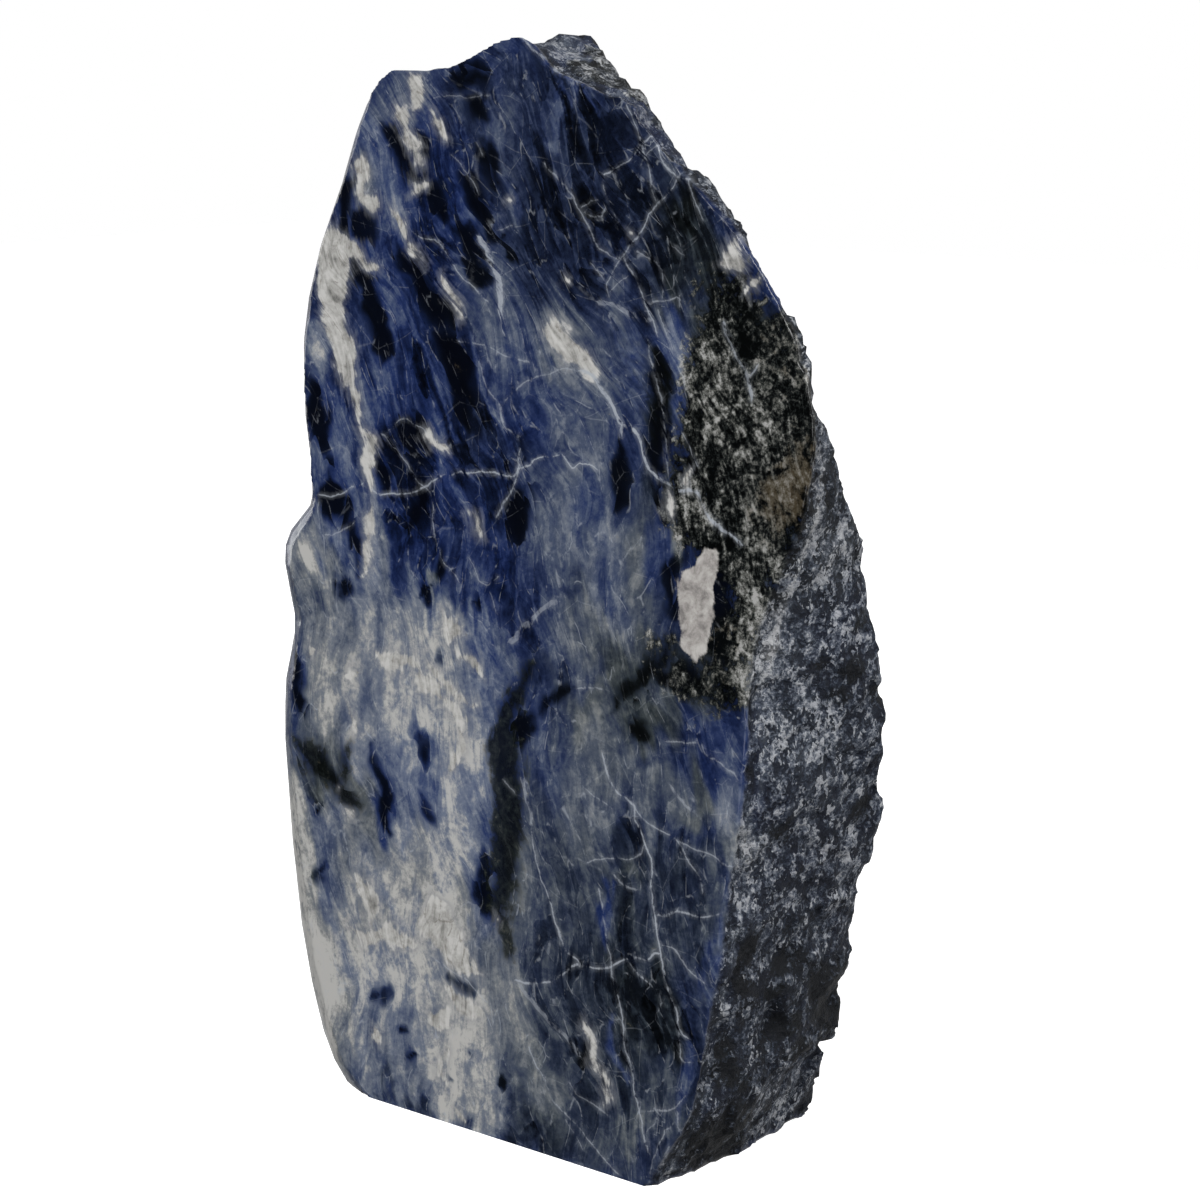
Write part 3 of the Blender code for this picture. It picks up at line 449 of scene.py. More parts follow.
def evaluated(mesh, kind, weights=None, **settings):
    """The mesh as a modifier leaves it, with weights that say where it works hardest."""
    holder = placed("holder", mesh)
    if weights is not None:
        group = holder.vertex_groups.new(name="weights")
        settings["vertex_group"] = group.name
        for weight in np.unique(weights):
            group.add(np.nonzero(weights == weight)[0].tolist(), float(weight), "REPLACE")
    modifier = holder.modifiers.new(kind, kind)
    for name, value in settings.items():
        setattr(modifier, name, value)
    graph = bpy.context.evaluated_depsgraph_get()
    made = bpy.data.meshes.new_from_object(holder.evaluated_get(graph))
    bpy.data.objects.remove(holder)
    return made


def triples(items, name):
    """Three numbers for each of a mesh's items."""
    found = np.zeros(len(items) * 3, np.float32)
    items.foreach_get(name, found)
    return found.reshape(-1, 3).astype(float)


def corners(mesh):
    """The mesh's vertices in the stone's own measure."""
    return triples(mesh.vertices, "co") / MM + OFFSET


def set_corners(mesh, places):
    """Puts the mesh's vertices at places given in the stone's own measure."""
    mesh.vertices.foreach_set("co", ((places - OFFSET) * MM).astype(np.float32).ravel())
    mesh.update()


def outward(mesh):
    """The mesh's normals at its vertices."""
    return triples(mesh.vertex_normals, "vector")


def behind(places):
    """How far behind the polished face each place lies."""
    return places[:, 1] - GRINDING_CUT - places[:, 2] * math.tan(math.radians(LEAN_DEG))


def bevelled(places):
    """0 on the flat face and 1 where the worn bevel is full."""
    return smooth(-places[:, 0], *BEVEL_LEFT)


def broken(places):
    """0 where the stone is polished, 1 where it is broken."""
    left = bevelled(places) * smooth(-places[:, 2], -BEVEL_TOP[1], -BEVEL_TOP[0])
    start = SNAP + BEVEL_DEPTH * left
    back = smooth(behind(places), start, start + 0.9 + 4.0 * left)
    return back * smooth(places[:, 2], 0.2, 0.8)


def fine_mesh():
    """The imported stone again, made of cells fine enough to carry its marks."""
    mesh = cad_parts["sodalite"].data.copy()
    bm = bmesh.new()
    bm.from_mesh(mesh)
    bmesh.ops.remove_doubles(bm, verts=bm.verts, dist=1e-6)
    bm.to_mesh(mesh)
    bm.free()
    mesh = evaluated(mesh, "REMESH", mode="VOXEL", voxel_size=CELL * MM)
    places = corners(mesh)
    face = behind(places) < FACE_DEPTH
    right = ~face & (places[:, 0] > RIGHT_FROM)
    weights = np.where(face, THINNING["face"], np.where(right, THINNING["right"], THINNING["hidden"]))
    return evaluated(mesh, "DECIMATE", weights, ratio=KEPT_SHARE, vertex_group_factor=THINNING_POWER)


def flatten(mesh):
    """Puts what lies close to the polished face or the sawn foot right on it."""
    places = corners(mesh)
    depth = behind(places)
    close = (np.abs(depth) < SNAP) & (outward(mesh)[:, 1] < -FACING)
    places[close, 1] -= depth[close]
    low = places[:, 2] < SNAP
    places[low, 2] = 0.0
    set_corners(mesh, places)


def fine_relief(place):
    """How far the broken surface stands in from the lump at a place, in millimetres."""
    bent = place + 1.2 * noise.noise_vector(place / 5.0)
    height = 0.0
    for size, tall in SCALES:
        spot = bent / size
        centre = noise.voronoi(spot)[1][0]
        tilt = noise.cell_vector(centre * 7.0) - Vector((0.5, 0.5, 0.5))
        height += tall * (1.7 * (spot - centre).dot(tilt) + 0.35 * (noise.cell(centre * 9.0) - 0.5))
    return height + 0.1 * noise.fractal(place / 0.8, 0.9, 2.0, 2)


def roughen(mesh):
    """Breaks the broken sides up into small scales."""
    places = corners(mesh)
    share = broken(places)
    normals = outward(mesh)
    heights = np.zeros(len(places))
    for number in np.nonzero(share > 0.01)[0]:
        heights[number] = fine_relief(Vector(places[number]))
    heights = np.clip(heights - SCALE_SINK, *SCALE_BOUNDS)
    moved = places + normals * (heights * share)[:, None]
    moved[:, 2] = np.maximum(moved[:, 2], 0.0)
    set_corners(mesh, moved)


def points(numbers):
    """Pairs out of a row of numbers: across and up, point after point."""
    return list(zip(numbers[::2], numbers[1::2]))


def line_reach(across, up, line, half_width):
    """How far inside a mark that tapers to its ends each place lies; below nothing outside it."""
    lengths = [math.dist(first, second) for first, second in zip(line, line[1:])]
    best = np.full(len(across), -1e9)
    done = 0.0
    for (x0, z0), (x1, z1), length in zip(line, line[1:], lengths):
        dx, dz = x1 - x0, z1 - z0
        share = np.clip(((across - x0) * dx + (up - z0) * dz) / length**2, 0.0, 1.0)
        along = (done + share * length) / sum(lengths)
        width = half_width * (1.2 - 0.9 * (2 * along - 1) ** 2)
        best = np.maximum(best, width - np.hypot(across - x0 - share * dx, up - z0 - share * dz))
        done += length
    return best


def body_reach(across, up, outline):
    """How far inside a closed outline each place lies, in millimetres; below nothing outside it."""
    near = -line_reach(across, up, [*outline, outline[0]], 0.0)
    inside = np.zeros(len(across), bool)
    for (x0, z0), (x1, z1) in zip(outline, outline[1:] + outline[:1]):
        spans = (z0 > up) != (z1 > up)
        if z0 != z1:
            inside ^= spans & (across < x0 + (up - z0) * (x1 - x0) / (z1 - z0))
    return np.where(inside, near, -near)


def mark_reach(across, up, marks, bodies=()):
    """How far inside the nearest of several marks each place lies."""
    reaches = [line_reach(across, up, points(line), width) for width, *line in marks]
    reaches += [body_reach(across, up, points(outline)) for outline in bodies]
    return np.max(reaches, axis=0)


def patch_cover(across, up, patch):
    """How much of a soft patch covers each place, from 0 to 1."""
    x, z, breadth, height, lean = patch
    turn = math.radians(lean)
    dx, dz = across - x, up - z
    sideways = (dx * math.cos(turn) + dz * math.sin(turn)) / breadth
    along = (dz * math.cos(turn) - dx * math.sin(turn)) / height
    return np.exp(-0.75 * (sideways**2 + along**2) ** 1.5)


def patchwork(across, up, patches):
    """How strongly soft patches cover each place, from 0 to 1."""
    clear = np.ones(len(across))
    for *patch, strength in patches:
        clear *= 1 - strength * patch_cover(across, up, patch)
    return 1 - clear


def painted(across, up, grounds, bands):
    """How pale and how grey each place is, with the grounds painted one over another."""
    pale = np.full(len(across), UNPAINTED[0])
    grey = np.full(len(across), UNPAINTED[1])
    covers = [(patch_cover(across, up, patch), p, g) for *patch, p, g in grounds]
    for width, p, g, *line in bands:
        reach = line_reach(across, up, points(line), width)
        covers.append((0.9 * smooth(reach, -0.5 - 0.8 * width, 0.9 * width), p, g))
    for cover, its_pale, its_grey in covers:
        pale += cover * (its_pale - pale)
        grey += cover * (its_grey - grey)
    return pale, grey


def vein_field(across, up, veins):
    """For each place its signed distance from the nearest of some veins, its half-width and paleness."""
    nearest = np.full(len(across), 1e9)
    field = np.tile((VEIN_REACH, NO_VEIN, 0.0), (len(across), 1))
    for half_width, pale, line in veins:
        last = len(line) - 2
        for number, ((x0, z0), (x1, z1)) in enumerate(zip(line, line[1:])):
            dx, dz = x1 - x0, z1 - z0
            length = math.hypot(dx, dz)
            share = ((across - x0) * dx + (up - z0) * dz) / length**2
            held = np.clip(share, 0.0, 1.0)
            distance = np.hypot(across - x0 - held * dx, up - z0 - held * dz)
            side = ((across - x0) * dz - (up - z0) * dx) / length
            past = np.zeros(len(across))
            if number == 0:
                past = np.maximum(past, -share * length)
            if number == last:
                past = np.maximum(past, (share - 1) * length)
            closer = (distance < nearest - 1e-6) | (
                (distance < nearest + 1e-6) & (np.abs(side) > np.abs(field[:, 0]))
            )
            closer &= distance < VEIN_REACH
            nearest[closer] = distance[closer]
            field[closer, 0] = (np.sign(side) * distance)[closer]
            field[closer, 1] = (half_width - 0.9 * past)[closer]
            field[closer, 2] = pale
    return field


def line_gap(first, second):
    """The smallest distance between the points of two lines, with points added between."""
    a, b = (np.vstack([np.linspace(*ends, 6) for ends in zip(line, line[1:])]) for line in (first, second))
    return np.min(np.hypot(a[:, None, 0] - b[None, :, 0], a[:, None, 1] - b[None, :, 1]))


def vein_layers():
    """The veins shared out so that those in one layer keep clear of each other."""
    veins = [(half_width, pale, points(line)) for half_width, pale, *line in VEINS]
    layers = [[] for _ in range(VEIN_LAYERS)]
    for vein in sorted(veins, key=lambda vein: -len(vein[2])):
        gaps = [min([line_gap(vein[2], other[2]) for other in layer], default=99.0) for layer in layers]
        free = [number for number, gap in enumerate(gaps) if gap > VEIN_GAP]
        layers[free[0] if free else int(np.argmax(gaps))].append(vein)
    return layers


def noise_field(places, size, seed):
    """Smooth noise from about -1 to 1 at each place."""
    shift = Vector((seed, 2.3 * seed, -1.7 * seed))
    return np.array([noise.fractal(Vector(place) / size + shift, 0.9, 2.0, 3) for place in places])


def strayed(places, waves):
    """Places moved about a little, so that what is drawn gets a natural edge."""
    for size, far, seed in waves:
        shift = Vector((seed, seed, seed))
        ways = np.array([noise.noise_vector(Vector(place) / size + shift) for place in places])
        places = places + far * ways
    return places


def grain_of(places):
    """Places measured across the grain, up and back; the grain leans more near the top."""
    heights = np.linspace(-10.0, 200.0, 421)
    leans = np.radians(LOW_LEAN_DEG + (HIGH_LEAN_DEG - LOW_LEAN_DEG) * smooth(heights, *LEAN_TURN))
    drift = np.cumsum(np.tan(leans)) * (heights[1] - heights[0])
    across = places[:, 0] + np.interp(places[:, 2], heights, drift)
    return np.stack((across, places[:, 2], places[:, 1]), 1)


def add_values(mesh, name, *values):
    """Stores up to three values a vertex under a name."""
    stored = np.zeros((len(mesh.vertices), 3), np.float32)
    stored[:, :len(values)] = np.stack(values, 1)
    attribute = mesh.attributes.new(name, "FLOAT_VECTOR", "POINT")
    attribute.data.foreach_set("vector", stored.ravel())


def mark_stone(mesh):
    """Stores where the stone's marks, patches and veins are, and which way its grain runs."""
    places = corners(mesh)
    depth = behind(places)
    off_face = np.maximum(0.0, depth - FACE_DEPTH - (BEVEL_DEPTH - FACE_DEPTH) * bevelled(places))
    shown = smooth(-off_face, -4.0, -0.5)
    right = (1 - shown) * smooth(places[:, 0], -8.0, 0.0) * smooth(-depth, -52.0, -44.0)
    hidden = 1 - np.maximum(shown, right)

    wavy = strayed(places, WAVY)
    ragged = strayed(places, RAGGED)
    loose = strayed(wavy, LOOSE)
    grain = grain_of(strayed(places, BENT_GRAIN))
    across, up = wavy[:, 0], wavy[:, 2]
    side_depth = behind(wavy)
    large = noise_field(places, 26.0, 1.3)
    small = noise_field(places, 11.0, 5.1)
    bands = noise_field(grain * np.array((1.0, 0.28, 0.5)), 4.2, 8.7)
    blots = noise_field(grain * np.array((1.0, 0.4, 0.6)), 3.4, 3.9)

    def crisp(marks, bodies, hidden_reach):
        """Marks drawn on the face, or where noise puts them on the sides that were not seen."""
        reach = mark_reach(ragged[:, 0], ragged[:, 2], marks, bodies) - 1.6 * off_face
        return np.clip(np.maximum(reach, hidden_reach - 20.0 * (1 - hidden)), -FAR, FAR)

    def soft(patches, side_patches, hidden_level):
        """Patches drawn on the face and on the broken right side, or noise elsewhere."""
        face = patchwork(places[:, 0], places[:, 2], patches)
        side = patchwork(depth, places[:, 2], side_patches)
        return np.clip(face * shown + side * right + hidden * hidden_level, 0.0, 1.0)

    cream = crisp(CREAM, CREAM_BODIES, 9.0 * (small * 0.6 + large * 0.7) - 5.4)
    quartz = crisp([], QUARTZ_BODIES, -FAR)
    dark = crisp(DARK, DARK_BODIES, 6.0 * (blots - 0.3))
    # The right side's dark marks, some of them painted shade, join the dark marks of the face
    side_dark_and_shade = mark_reach(side_depth, up, SIDE_DARK_AND_SHADE) - FAR * (1 - right)
    dark = np.maximum(dark, np.clip(side_dark_and_shade, -FAR, FAR))
    green_black = crisp(GREEN_BLACK, [], 7.0 * (noise_field(places, 14.0, 6.4) - 0.5))
    mottle = soft(MOTTLE, [], smooth(large - small, 0.35, 0.8))
    rust = soft(RUST, SIDE_RUST, 0.6 * smooth(small + large, 0.55, 1.0))

    pale, grey = painted(loose[:, 0] + 1.2 * blots, loose[:, 2] + 7.0 * bands, GROUNDS, BANDS)
    side_blue = patchwork(side_depth, up, SIDE_BLUE)
    side_pale = 0.49 + 0.34 * patchwork(side_depth, up, SIDE_PALE) - 0.12 * side_blue
    # The right side is darker near the foot, painted shade where it lies in shadow, and darker near the top
    # break
    side_pale -= 0.12 * smooth(-up, -50.0, -20.0) + 0.36 * smooth(up, 165.0, 178.0)
    side_grey = 0.35 - 0.5 * side_blue + 0.4 * smooth(up, 90.0, 110.0)
    tone = pale * shown + side_pale * right + hidden * (0.5 + 0.4 * large + 0.2 * small)
    light = smooth(tone, 0.6, 0.8)
    tone += (0.05 + 0.08 * light) * bands + (0.05 + 0.04 * light) * small
    green = np.clip(grey * shown + side_grey * right + hidden * (0.3 + 0.5 * small), 0.0, 1.0)
    black = np.maximum(smooth(dark, -1.2, 0.9), 0.9 * smooth(green_black, -1.5, 1.5))

    add_values(mesh, "marks", cream, quartz, dark)
    add_values(mesh, "tones", tone, green, black)
    add_values(mesh, "patches", mottle, rust, green_black)
    add_values(mesh, "surface", broken(places), hidden)
    add_values(mesh, "grain", *grain.T)
    for number, layer in enumerate(vein_layers()):
        field = vein_field(across, up, layer)
        field[:, 1] -= 0.6 * off_face
        add_values(mesh, f"veins_{number}", *field.T)


class Number:
    """A number that changes over the stone; sums on it add Math nodes."""

    def __init__(self, recipe, socket):
        self.recipe = recipe
        self.socket = socket

    def worked(self, operation, *values):
        made = self.recipe.node("ShaderNodeMath", {"operation": operation}, dict(enumerate(values)))
        return Number(self.recipe, made.outputs[0])

    def __add__(self, other):
        return self.worked("ADD", self, other)

    def __radd__(self, other):
        return self.worked("ADD", other, self)

    def __sub__(self, other):
        return self.worked("SUBTRACT", self, other)

    def __rsub__(self, other):
        return self.worked("SUBTRACT", other, self)

    def __mul__(self, other):
        return self.worked("MULTIPLY", self, other)

    def __rmul__(self, other):
        return self.worked("MULTIPLY", other, self)

    def __abs__(self):
        return self.worked("ABSOLUTE", self)


class Recipe:
    """A material or a world made from nodes."""

    def __init__(self, owner):
        self.owner = owner
        self.owner.use_nodes = True
        self.tree = owner.node_tree

    def node(self, kind, settings, inputs):
        """One node: its settings first, then the values or links of its sockets."""
        made = self.tree.nodes.new(kind)
        for name, value in settings.items():
            if name == "stops":
                self.set_stops(made.color_ramp.elements, value)
            else:
                setattr(made, name, value)
        self.feed(made, inputs)
        return made

    def set_stops(self, elements, stops):
        while len(elements) > 1:
            elements.remove(elements[0])
        for number, (place, paint) in enumerate(stops):
            stop = elements[0] if number == 0 else elements.new(place)
            stop.position = place
            stop.color = (*paint, 1.0)

    def feed(self, made, inputs):
        for place, value in inputs.items():
            if isinstance(value, Number):
                value = value.socket
            if isinstance(value, bpy.types.NodeSocket):
                self.tree.links.new(value, made.inputs[place])
            else:
                made.inputs[place].default_value = value

    def values(self, name):
        """The three numbers that the mesh stores under a name."""
        stored = self.node("ShaderNodeAttribute", {"attribute_name": name}, {})
        parts = self.node("ShaderNodeSeparateXYZ", {}, {0: stored.outputs["Vector"]})
        return [Number(self, socket) for socket in parts.outputs]

    def stretched(self, vector, factors):
        """A vector with each of its parts multiplied."""
        made = self.node("ShaderNodeVectorMath", {"operation": "MULTIPLY"}, {0: vector, 1: factors})
        return made.outputs["Vector"]

    def noise(self, vector, scale, detail, coarse=0.55, bend=0.0):
        """Noise from about -0.3 to 0.3."""
        made = self.node("ShaderNodeTexNoise", {}, {
            "Vector": vector, "Scale": scale, "Detail": detail, "Roughness": coarse, "Distortion": bend,
        })
        return Number(self, made.outputs["Fac"]) - 0.5

    def bent(self, vector, scale, far):
        """A place moved about by noise."""
        shift = self.node("ShaderNodeTexNoise", {}, {"Vector": vector, "Scale": scale, "Detail": 1.0})
        inputs = {0: shift.outputs["Color"], 1: (far, far, far), 2: vector}
        return self.node("ShaderNodeVectorMath", {"operation": "MULTIPLY_ADD"}, inputs).outputs["Vector"]

    def crystal(self, vector, feature):
        """The crystal that each spot lies in, out of many side by side."""
        return self.node("ShaderNodeTexVoronoi", {"feature": feature}, {"Vector": vector, "Scale": 1.0})

    def rims(self, vector):
        """How far a spot is from the rim of its crystal, in crystal widths."""
        return Number(self, self.crystal(vector, "DISTANCE_TO_EDGE").outputs["Distance"])

    def cells(self, vector):
        """A number from -0.5 to 0.5 for each crystal."""
        colour = self.crystal(vector, "F1").outputs["Color"]
        return Number(self, self.node("ShaderNodeSeparateXYZ", {}, {0: colour}).outputs[0]) - 0.5

    def step(self, value, low, high):
        """From 0 at low to 1 at high, with level ends."""
        inputs = {"Value": value, "From Min": low, "From Max": high}
        made = self.node("ShaderNodeMapRange", {"interpolation_type": "SMOOTHSTEP"}, inputs)
        return Number(self, made.outputs["Result"])

    def ramp(self, value, stops):
        """The colour at a place along a row of colours."""
        return self.node("ShaderNodeValToRGB", {"stops": stops}, {"Fac": value}).outputs["Color"]

    def mix(self, amount, first, second):
        """One colour going over into another."""
        paints = [(*paint, 1.0) if isinstance(paint, tuple) else paint for paint in (first, second)]
        settings = {"data_type": "RGBA", "clamp_factor": True}
        return self.node("ShaderNodeMix", settings, {0: amount, 6: paints[0], 7: paints[1]}).outputs[2]


# Sizes in the rock across, along and into the grain, in millimetres
STREAK = (1.5, 6.0, 3.0)
CRYSTAL = (3.2, 9.0, 5.0)

# Sizes without a grain, in metres, and how many shards and flecks a metre holds across, back and up
CURD = 0.0032
GRIT = 0.0008
BUMP = 0.0008
SHARDS = (130.0, 130.0, 110.0)
FLECKS = (800.0, 800.0, 480.0)

# Colours in the stone, from dark to pale
BLUE_ROW = [
    (0.00, (0.0008, 0.0014, 0.0040)), (0.18, (0.0028, 0.0060, 0.022)), (0.34, (0.0070, 0.0150, 0.061)),
    (0.48, (0.018, 0.033, 0.112)), (0.62, (0.055, 0.078, 0.160)), (0.78, (0.158, 0.19, 0.27)),
    (0.96, (0.44, 0.45, 0.47)),
]
GREY_ROW = [
    (0.00, (0.0010, 0.0014, 0.0016)), (0.20, (0.0055, 0.0072, 0.0084)), (0.36, (0.019, 0.025, 0.030)),
    (0.50, (0.045, 0.054, 0.060)), (0.64, (0.090, 0.102, 0.108)), (0.78, (0.19, 0.20, 0.203)),
    (0.96, (0.46, 0.455, 0.44)),
]
PEPPER_ROW = [
    (0.30, (0.0012, 0.0016, 0.0017)), (0.46, (0.011, 0.013, 0.013)), (0.56, (0.056, 0.058, 0.053)),
    (0.66, (0.145, 0.147, 0.138)), (0.80, (0.36, 0.36, 0.35)),
]
MOSS_ROW = [
    (0.28, (0.0022, 0.0030, 0.0027)), (0.50, (0.0095, 0.0125, 0.0115)), (0.72, (0.046, 0.053, 0.048)),
]
BROKEN_ROW = [
    (0.22, (0.002, 0.003, 0.005)), (0.42, (0.013, 0.018, 0.028)), (0.56, (0.050, 0.059, 0.077)),
    (0.72, (0.125, 0.138, 0.162)), (0.95, (0.33, 0.34, 0.36)),
]
BONE_ROW = [(0.30, (0.15, 0.15, 0.145)), (0.50, (0.36, 0.355, 0.34)), (0.68, (0.54, 0.535, 0.52))]
QUARTZ_ROW = [(0.34, (0.19, 0.18, 0.175)), (0.50, (0.36, 0.34, 0.325)), (0.66, (0.50, 0.485, 0.465))]
RUST_BROWN = (0.085, 0.066, 0.040)
CRACK_BROWN = (0.13, 0.115, 0.095)
HAZE_GREY = (0.21, 0.22, 0.245)
VEIN_WHITE = (0.38, 0.41, 0.46)


class Rock(Recipe):
    """The stone's material, with the numbers that its mesh stores, and with its noise and crystals."""

    def __init__(self, owner):
        super().__init__(owner)
        self.cream, self.quartz, self.dark = self.values("marks")
        self.tone, self.green, self.black = self.values("tones")
        self.mottle, self.rust, self.green_black = self.values("patches")
        self.rough, self.hidden, _ = self.values("surface")
        grain = self.node("ShaderNodeAttribute", {"attribute_name": "grain"}, {}).outputs["Vector"]
        spot = self.node("ShaderNodeTexCoord", {}, {}).outputs["Object"]
        streaked = self.stretched(grain, [1 / size for size in STREAK])
        lens = self.bent(self.stretched(grain, [1 / size for size in CRYSTAL]), 1.2, 0.7)
        self.streaks = self.noise(streaked, 1.0, 3.0, 0.6, 0.8)
        self.curd = self.noise(spot, 1 / CURD, 4.0, 0.66, 0.4)
        self.grit = self.noise(spot, 1 / GRIT, 3.0, 0.74)
        self.crystals = self.cells(lens)
        self.rim = self.rims(lens)
        self.shard = self.rims(self.bent(self.stretched(spot, SHARDS), 0.7, 0.4))
        self.flecks = self.cells(self.bent(self.stretched(spot, FLECKS), 1.7, 2.2))
        self.shift = self.grit * 1.2 + self.curd * 2.6 + self.streaks * 2.0
        self.edge = self.step(self.dark + self.crystals * 2.2 + self.shift * 0.9, -1.1, 0.9)


def blue_and_grey(rock):
    """Dark crystals with paler rims, pale curds where it is lightest, and a net of fine white hairs."""
    tone, step, mix = rock.tone, rock.step, rock.mix
    crystals, rim, edge = rock.crystals, rock.rim, rock.edge
    curd, grit, streaks = rock.curd, rock.grit, rock.streaks
    calm = (1.1 - tone) * (1.1 - tone)
    milky = step(tone, 0.56, 0.9)
    veil = (1 - step(rim, 0.0, 0.3)) * step(streaks + curd, -0.16, 0.16)
    depth = tone + calm * (crystals * 0.36 - step(crystals, 0.12, 0.28) * 0.4 + veil * 0.24)
    depth = depth + streaks * (0.22 + 0.35 * tone) + curd * (0.36 + 0.14 * milky)
    depth = depth + grit * (0.26 + 0.1 * milky)
    depth = depth + milky * 0.16 * (1 - step(depth, 0.35, 0.85))
    depth = depth * (1 - edge * (0.74 - 0.4 * milky) - rock.black * 0.18)
    greyness = rock.green + curd * 0.5 + streaks * 0.35 + edge * 0.1 + step(depth, 0.74, 0.98) * 0.5
    body = mix(greyness, rock.ramp(depth, BLUE_ROW), rock.ramp(depth, GREY_ROW))
    hair = (1 - step(rim + grit * 0.05, 0.0, 0.04)) * step(curd - streaks, 0.02, 0.2)
    thin = (1 - step(rock.shard + grit * 0.02, 0.0, 0.016)) * step(curd + streaks * 0.6, -0.1, 0.2)
    return mix((hair + thin * 0.5) * (0.22 + 0.35 * tone) * (1 - edge * 0.5), body, VEIN_WHITE)


def darker_fields(rock, body):
    """Green-black bands, salt and pepper, and rust over the body."""
    curd, grit, streaks = rock.curd, rock.grit, rock.streaks
    banded = rock.step(rock.green_black + rock.shift * 2.0 + rock.crystals * 1.6, -1.3, 1.0)
    moss = rock.ramp(0.33 + curd + grit * 0.7 + streaks * 0.4, MOSS_ROW)
    body = rock.mix(banded * 0.9, body, moss)
    grains = rock.tone * 0.88 - 0.03 + curd * 1.15 + grit + streaks * 0.7 + rock.flecks * 0.1
    peppered = rock.step(rock.mottle + curd * 1.5 + grit * 0.6, 0.35, 0.65)
    body = rock.mix(peppered, body, rock.ramp(grains, PEPPER_ROW))
    stained = rock.step(rock.rust + curd * 2.2 + grit * 1.2, 0.4, 1.0)
    return rock.mix(stained * 0.6, body, RUST_BROWN)


def broken_ground(rock, body):
    """Flakes and grains of the broken sides over the body."""
    lumps = rock.flecks * 0.62 + rock.curd * 0.9 + rock.grit * 1.35 + rock.streaks * 0.3
    ground = rock.ramp(rock.tone * 0.9 - 0.05 + lumps * 1.35 - rock.edge * 0.3, BROKEN_ROW)
    return rock.mix(rock.rough * (0.9 - 0.3 * rock.hidden), body, ground)


def cream_and_quartz(rock, body):
    """Cream with a grey fringe and thin brown cracks, and quartz, over the body."""
    step, mix = rock.step, rock.mix
    curd, grit, streaks = rock.curd, rock.grit, rock.streaks
    flowing = grit * 0.5 + curd * 1.8 + streaks * 3.2
    bone = rock.ramp(0.54 + curd * 0.7 + grit * 0.2 + streaks * 0.8, BONE_ROW)
    crack = (1 - step(rock.rim + grit * 0.1, 0.0, 0.06)) * step(streaks - curd, -0.02, 0.1)
    bone = mix(crack * 0.5, bone, CRACK_BROWN)
    body = mix(step(rock.cream + flowing * 1.3, -1.9, 0.4) * 0.42, body, HAZE_GREY)
    body = mix(step(rock.cream + flowing * 0.8, -0.35, 0.5), body, bone)
    flesh = rock.ramp(0.5 + curd + grit * 0.3, QUARTZ_ROW)
    return mix(step(rock.quartz + rock.shift * 0.5, -0.3, 0.25), body, flesh)


def veined(rock, body):
    """White hairlines, which come and go along their way, over the body."""
    wobble = rock.grit * 0.5 + rock.curd * 0.7
    shows = rock.step(rock.curd + rock.streaks, -0.2, 0.12)
    for number in range(VEIN_LAYERS):
        distance, half_width, pale = rock.values(f"veins_{number}")
        inside = half_width - abs(distance + wobble)
        strength = pale * shows
        for low, high, share in ((-0.08, 0.14, 0.85), (-0.8, 0.1, 0.18)):
            body = rock.mix(rock.step(inside, low, high) * strength * share, body, VEIN_WHITE)
    return body


def sodalite():
    """Blue stone with pale haze, black and cream patches and white hairlines, polished or broken."""
    rock = Rock(bpy.data.materials.new("sodalite"))
    body = blue_and_grey(rock)
    for laid in (darker_fields, broken_ground, cream_and_quartz, veined):
        body = laid(rock, body)
    bump = rock.node("ShaderNodeBump", {}, {
        "Strength": 0.8 * rock.rough,
        "Distance": BUMP,
        "Height": rock.curd + rock.grit * 1.3 + rock.flecks * 0.2,
    })
    rock.feed(rock.tree.nodes["Principled BSDF"], {
        "Base Color": body,
        "Roughness": 0.22 + 0.45 * rock.rough + 0.1 * rock.curd,
        "Normal": bump.outputs["Normal"],
        "IOR": 1.48,
        "Specular IOR Level": 0.25,
    })
    return rock.owner


def make_stone():
    """The stone with its fine relief, its marks and its material."""
    mesh = fine_mesh()
    flatten(mesh)
    roughen(mesh)
    mark_stone(mesh)
    mesh.name = "stone"
    mesh.materials.clear()
    mesh.materials.append(sodalite())
    mesh.shade_smooth()
    stone = placed("stone", mesh)
    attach(stone, "root")
    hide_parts("sodalite")


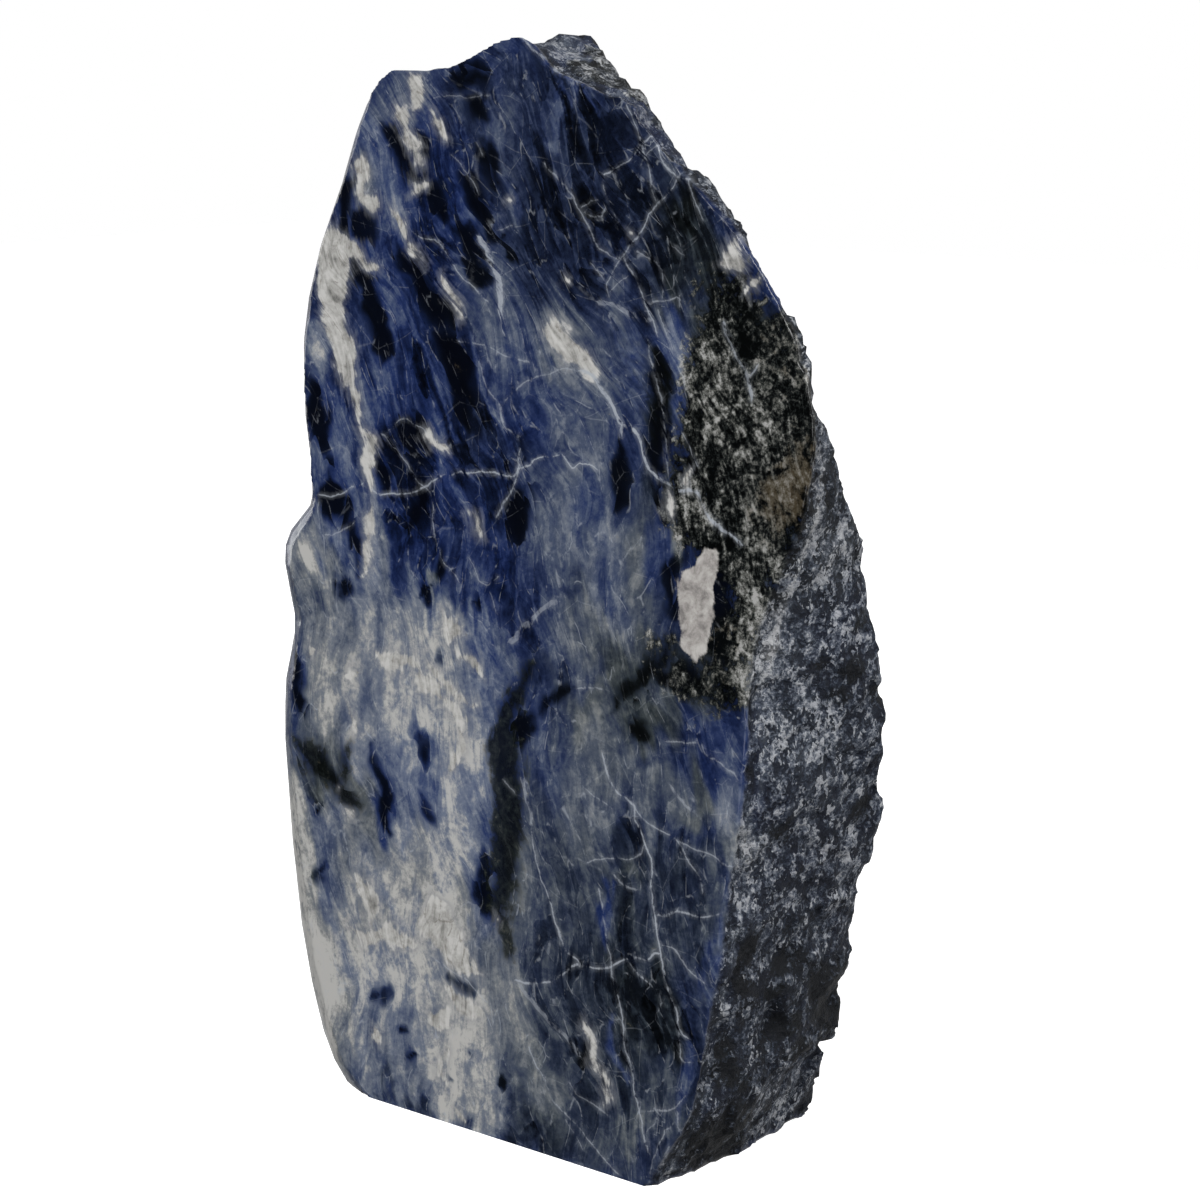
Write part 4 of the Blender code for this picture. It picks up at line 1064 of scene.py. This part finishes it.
def make_floor():
    """A plain pale floor."""
    mesh = bpy.data.meshes.new("floor")
    reach = 1.6
    mesh.from_pydata([(-reach, -reach, 0), (reach, -reach, 0), (reach, reach, 0), (-reach, reach, 0)], [],
                     [(0, 1, 2, 3)])
    recipe = Recipe(bpy.data.materials.new("pale floor"))
    recipe.feed(recipe.tree.nodes["Principled BSDF"], {
        "Base Color": (0.93, 0.93, 0.93, 1.0),
        "Roughness": 0.8,
        "Emission Color": (1.0, 1.0, 1.0, 1.0),
        "Emission Strength": 0.7,
    })
    mesh.materials.append(recipe.owner)
    floor = placed("floor", mesh)
    floor.visible_glossy = False
    floor.visible_diffuse = False


def make_light(name, place, size, power):
    """A soft square light that faces the middle of the stone."""
    light = bpy.data.lights.new(name, "AREA")
    light.size = size
    light.energy = power
    holder = placed(name, light)
    holder.location = place
    holder.rotation_euler = (Vector(STONE_MIDDLE) - holder.location).to_track_quat("-Z", "Y").to_euler()


def make_world():
    """White behind the stone for the camera, and a dim room with a bright back for the rest."""
    world = bpy.data.worlds.new("studio")
    recipe = Recipe(world)
    place = recipe.node("ShaderNodeTexCoord", {}, {}).outputs["Generated"]
    back = recipe.node("ShaderNodeSeparateXYZ", {}, {0: place}).outputs["Y"]
    glow = recipe.node("ShaderNodeMapRange", {"interpolation_type": "SMOOTHSTEP"}, {
        "Value": back, "From Min": -0.1, "From Max": 0.6, "To Min": 0.03, "To Max": 1.6,
    })
    room = {"Color": (0.5, 0.5, 0.5, 1.0), "Strength": glow.outputs["Result"]}
    room = recipe.node("ShaderNodeBackground", {}, room)
    ground = recipe.tree.nodes["Background"]
    recipe.feed(ground, {"Color": (1.0, 1.0, 1.0, 1.0), "Strength": 1.0})
    seen = recipe.node("ShaderNodeLightPath", {}, {}).outputs["Is Camera Ray"]
    chosen = recipe.node("ShaderNodeMixShader", {}, {0: seen, 1: room.outputs[0], 2: ground.outputs[0]})
    recipe.feed(recipe.tree.nodes["World Output"], {"Surface": chosen.outputs[0]})
    bpy.context.scene.world = world


def make_camera():
    """The camera at the photograph's angle."""
    camera = bpy.data.cameras.new("camera")
    camera.lens = CAMERA_LENS
    camera.sensor_width = SENSOR
    holder = placed("camera", camera)
    holder.location = CAMERA_AT
    holder.rotation_euler = (math.radians(90.0 - CAMERA_DOWN_DEG), 0.0, math.radians(CAMERA_TURN_DEG))
    bpy.context.scene.camera = holder


make_stone()
make_floor()
for light in LIGHTS:
    make_light(*light)
make_world()
make_camera()
bpy.context.scene.view_settings.view_transform = "Standard"
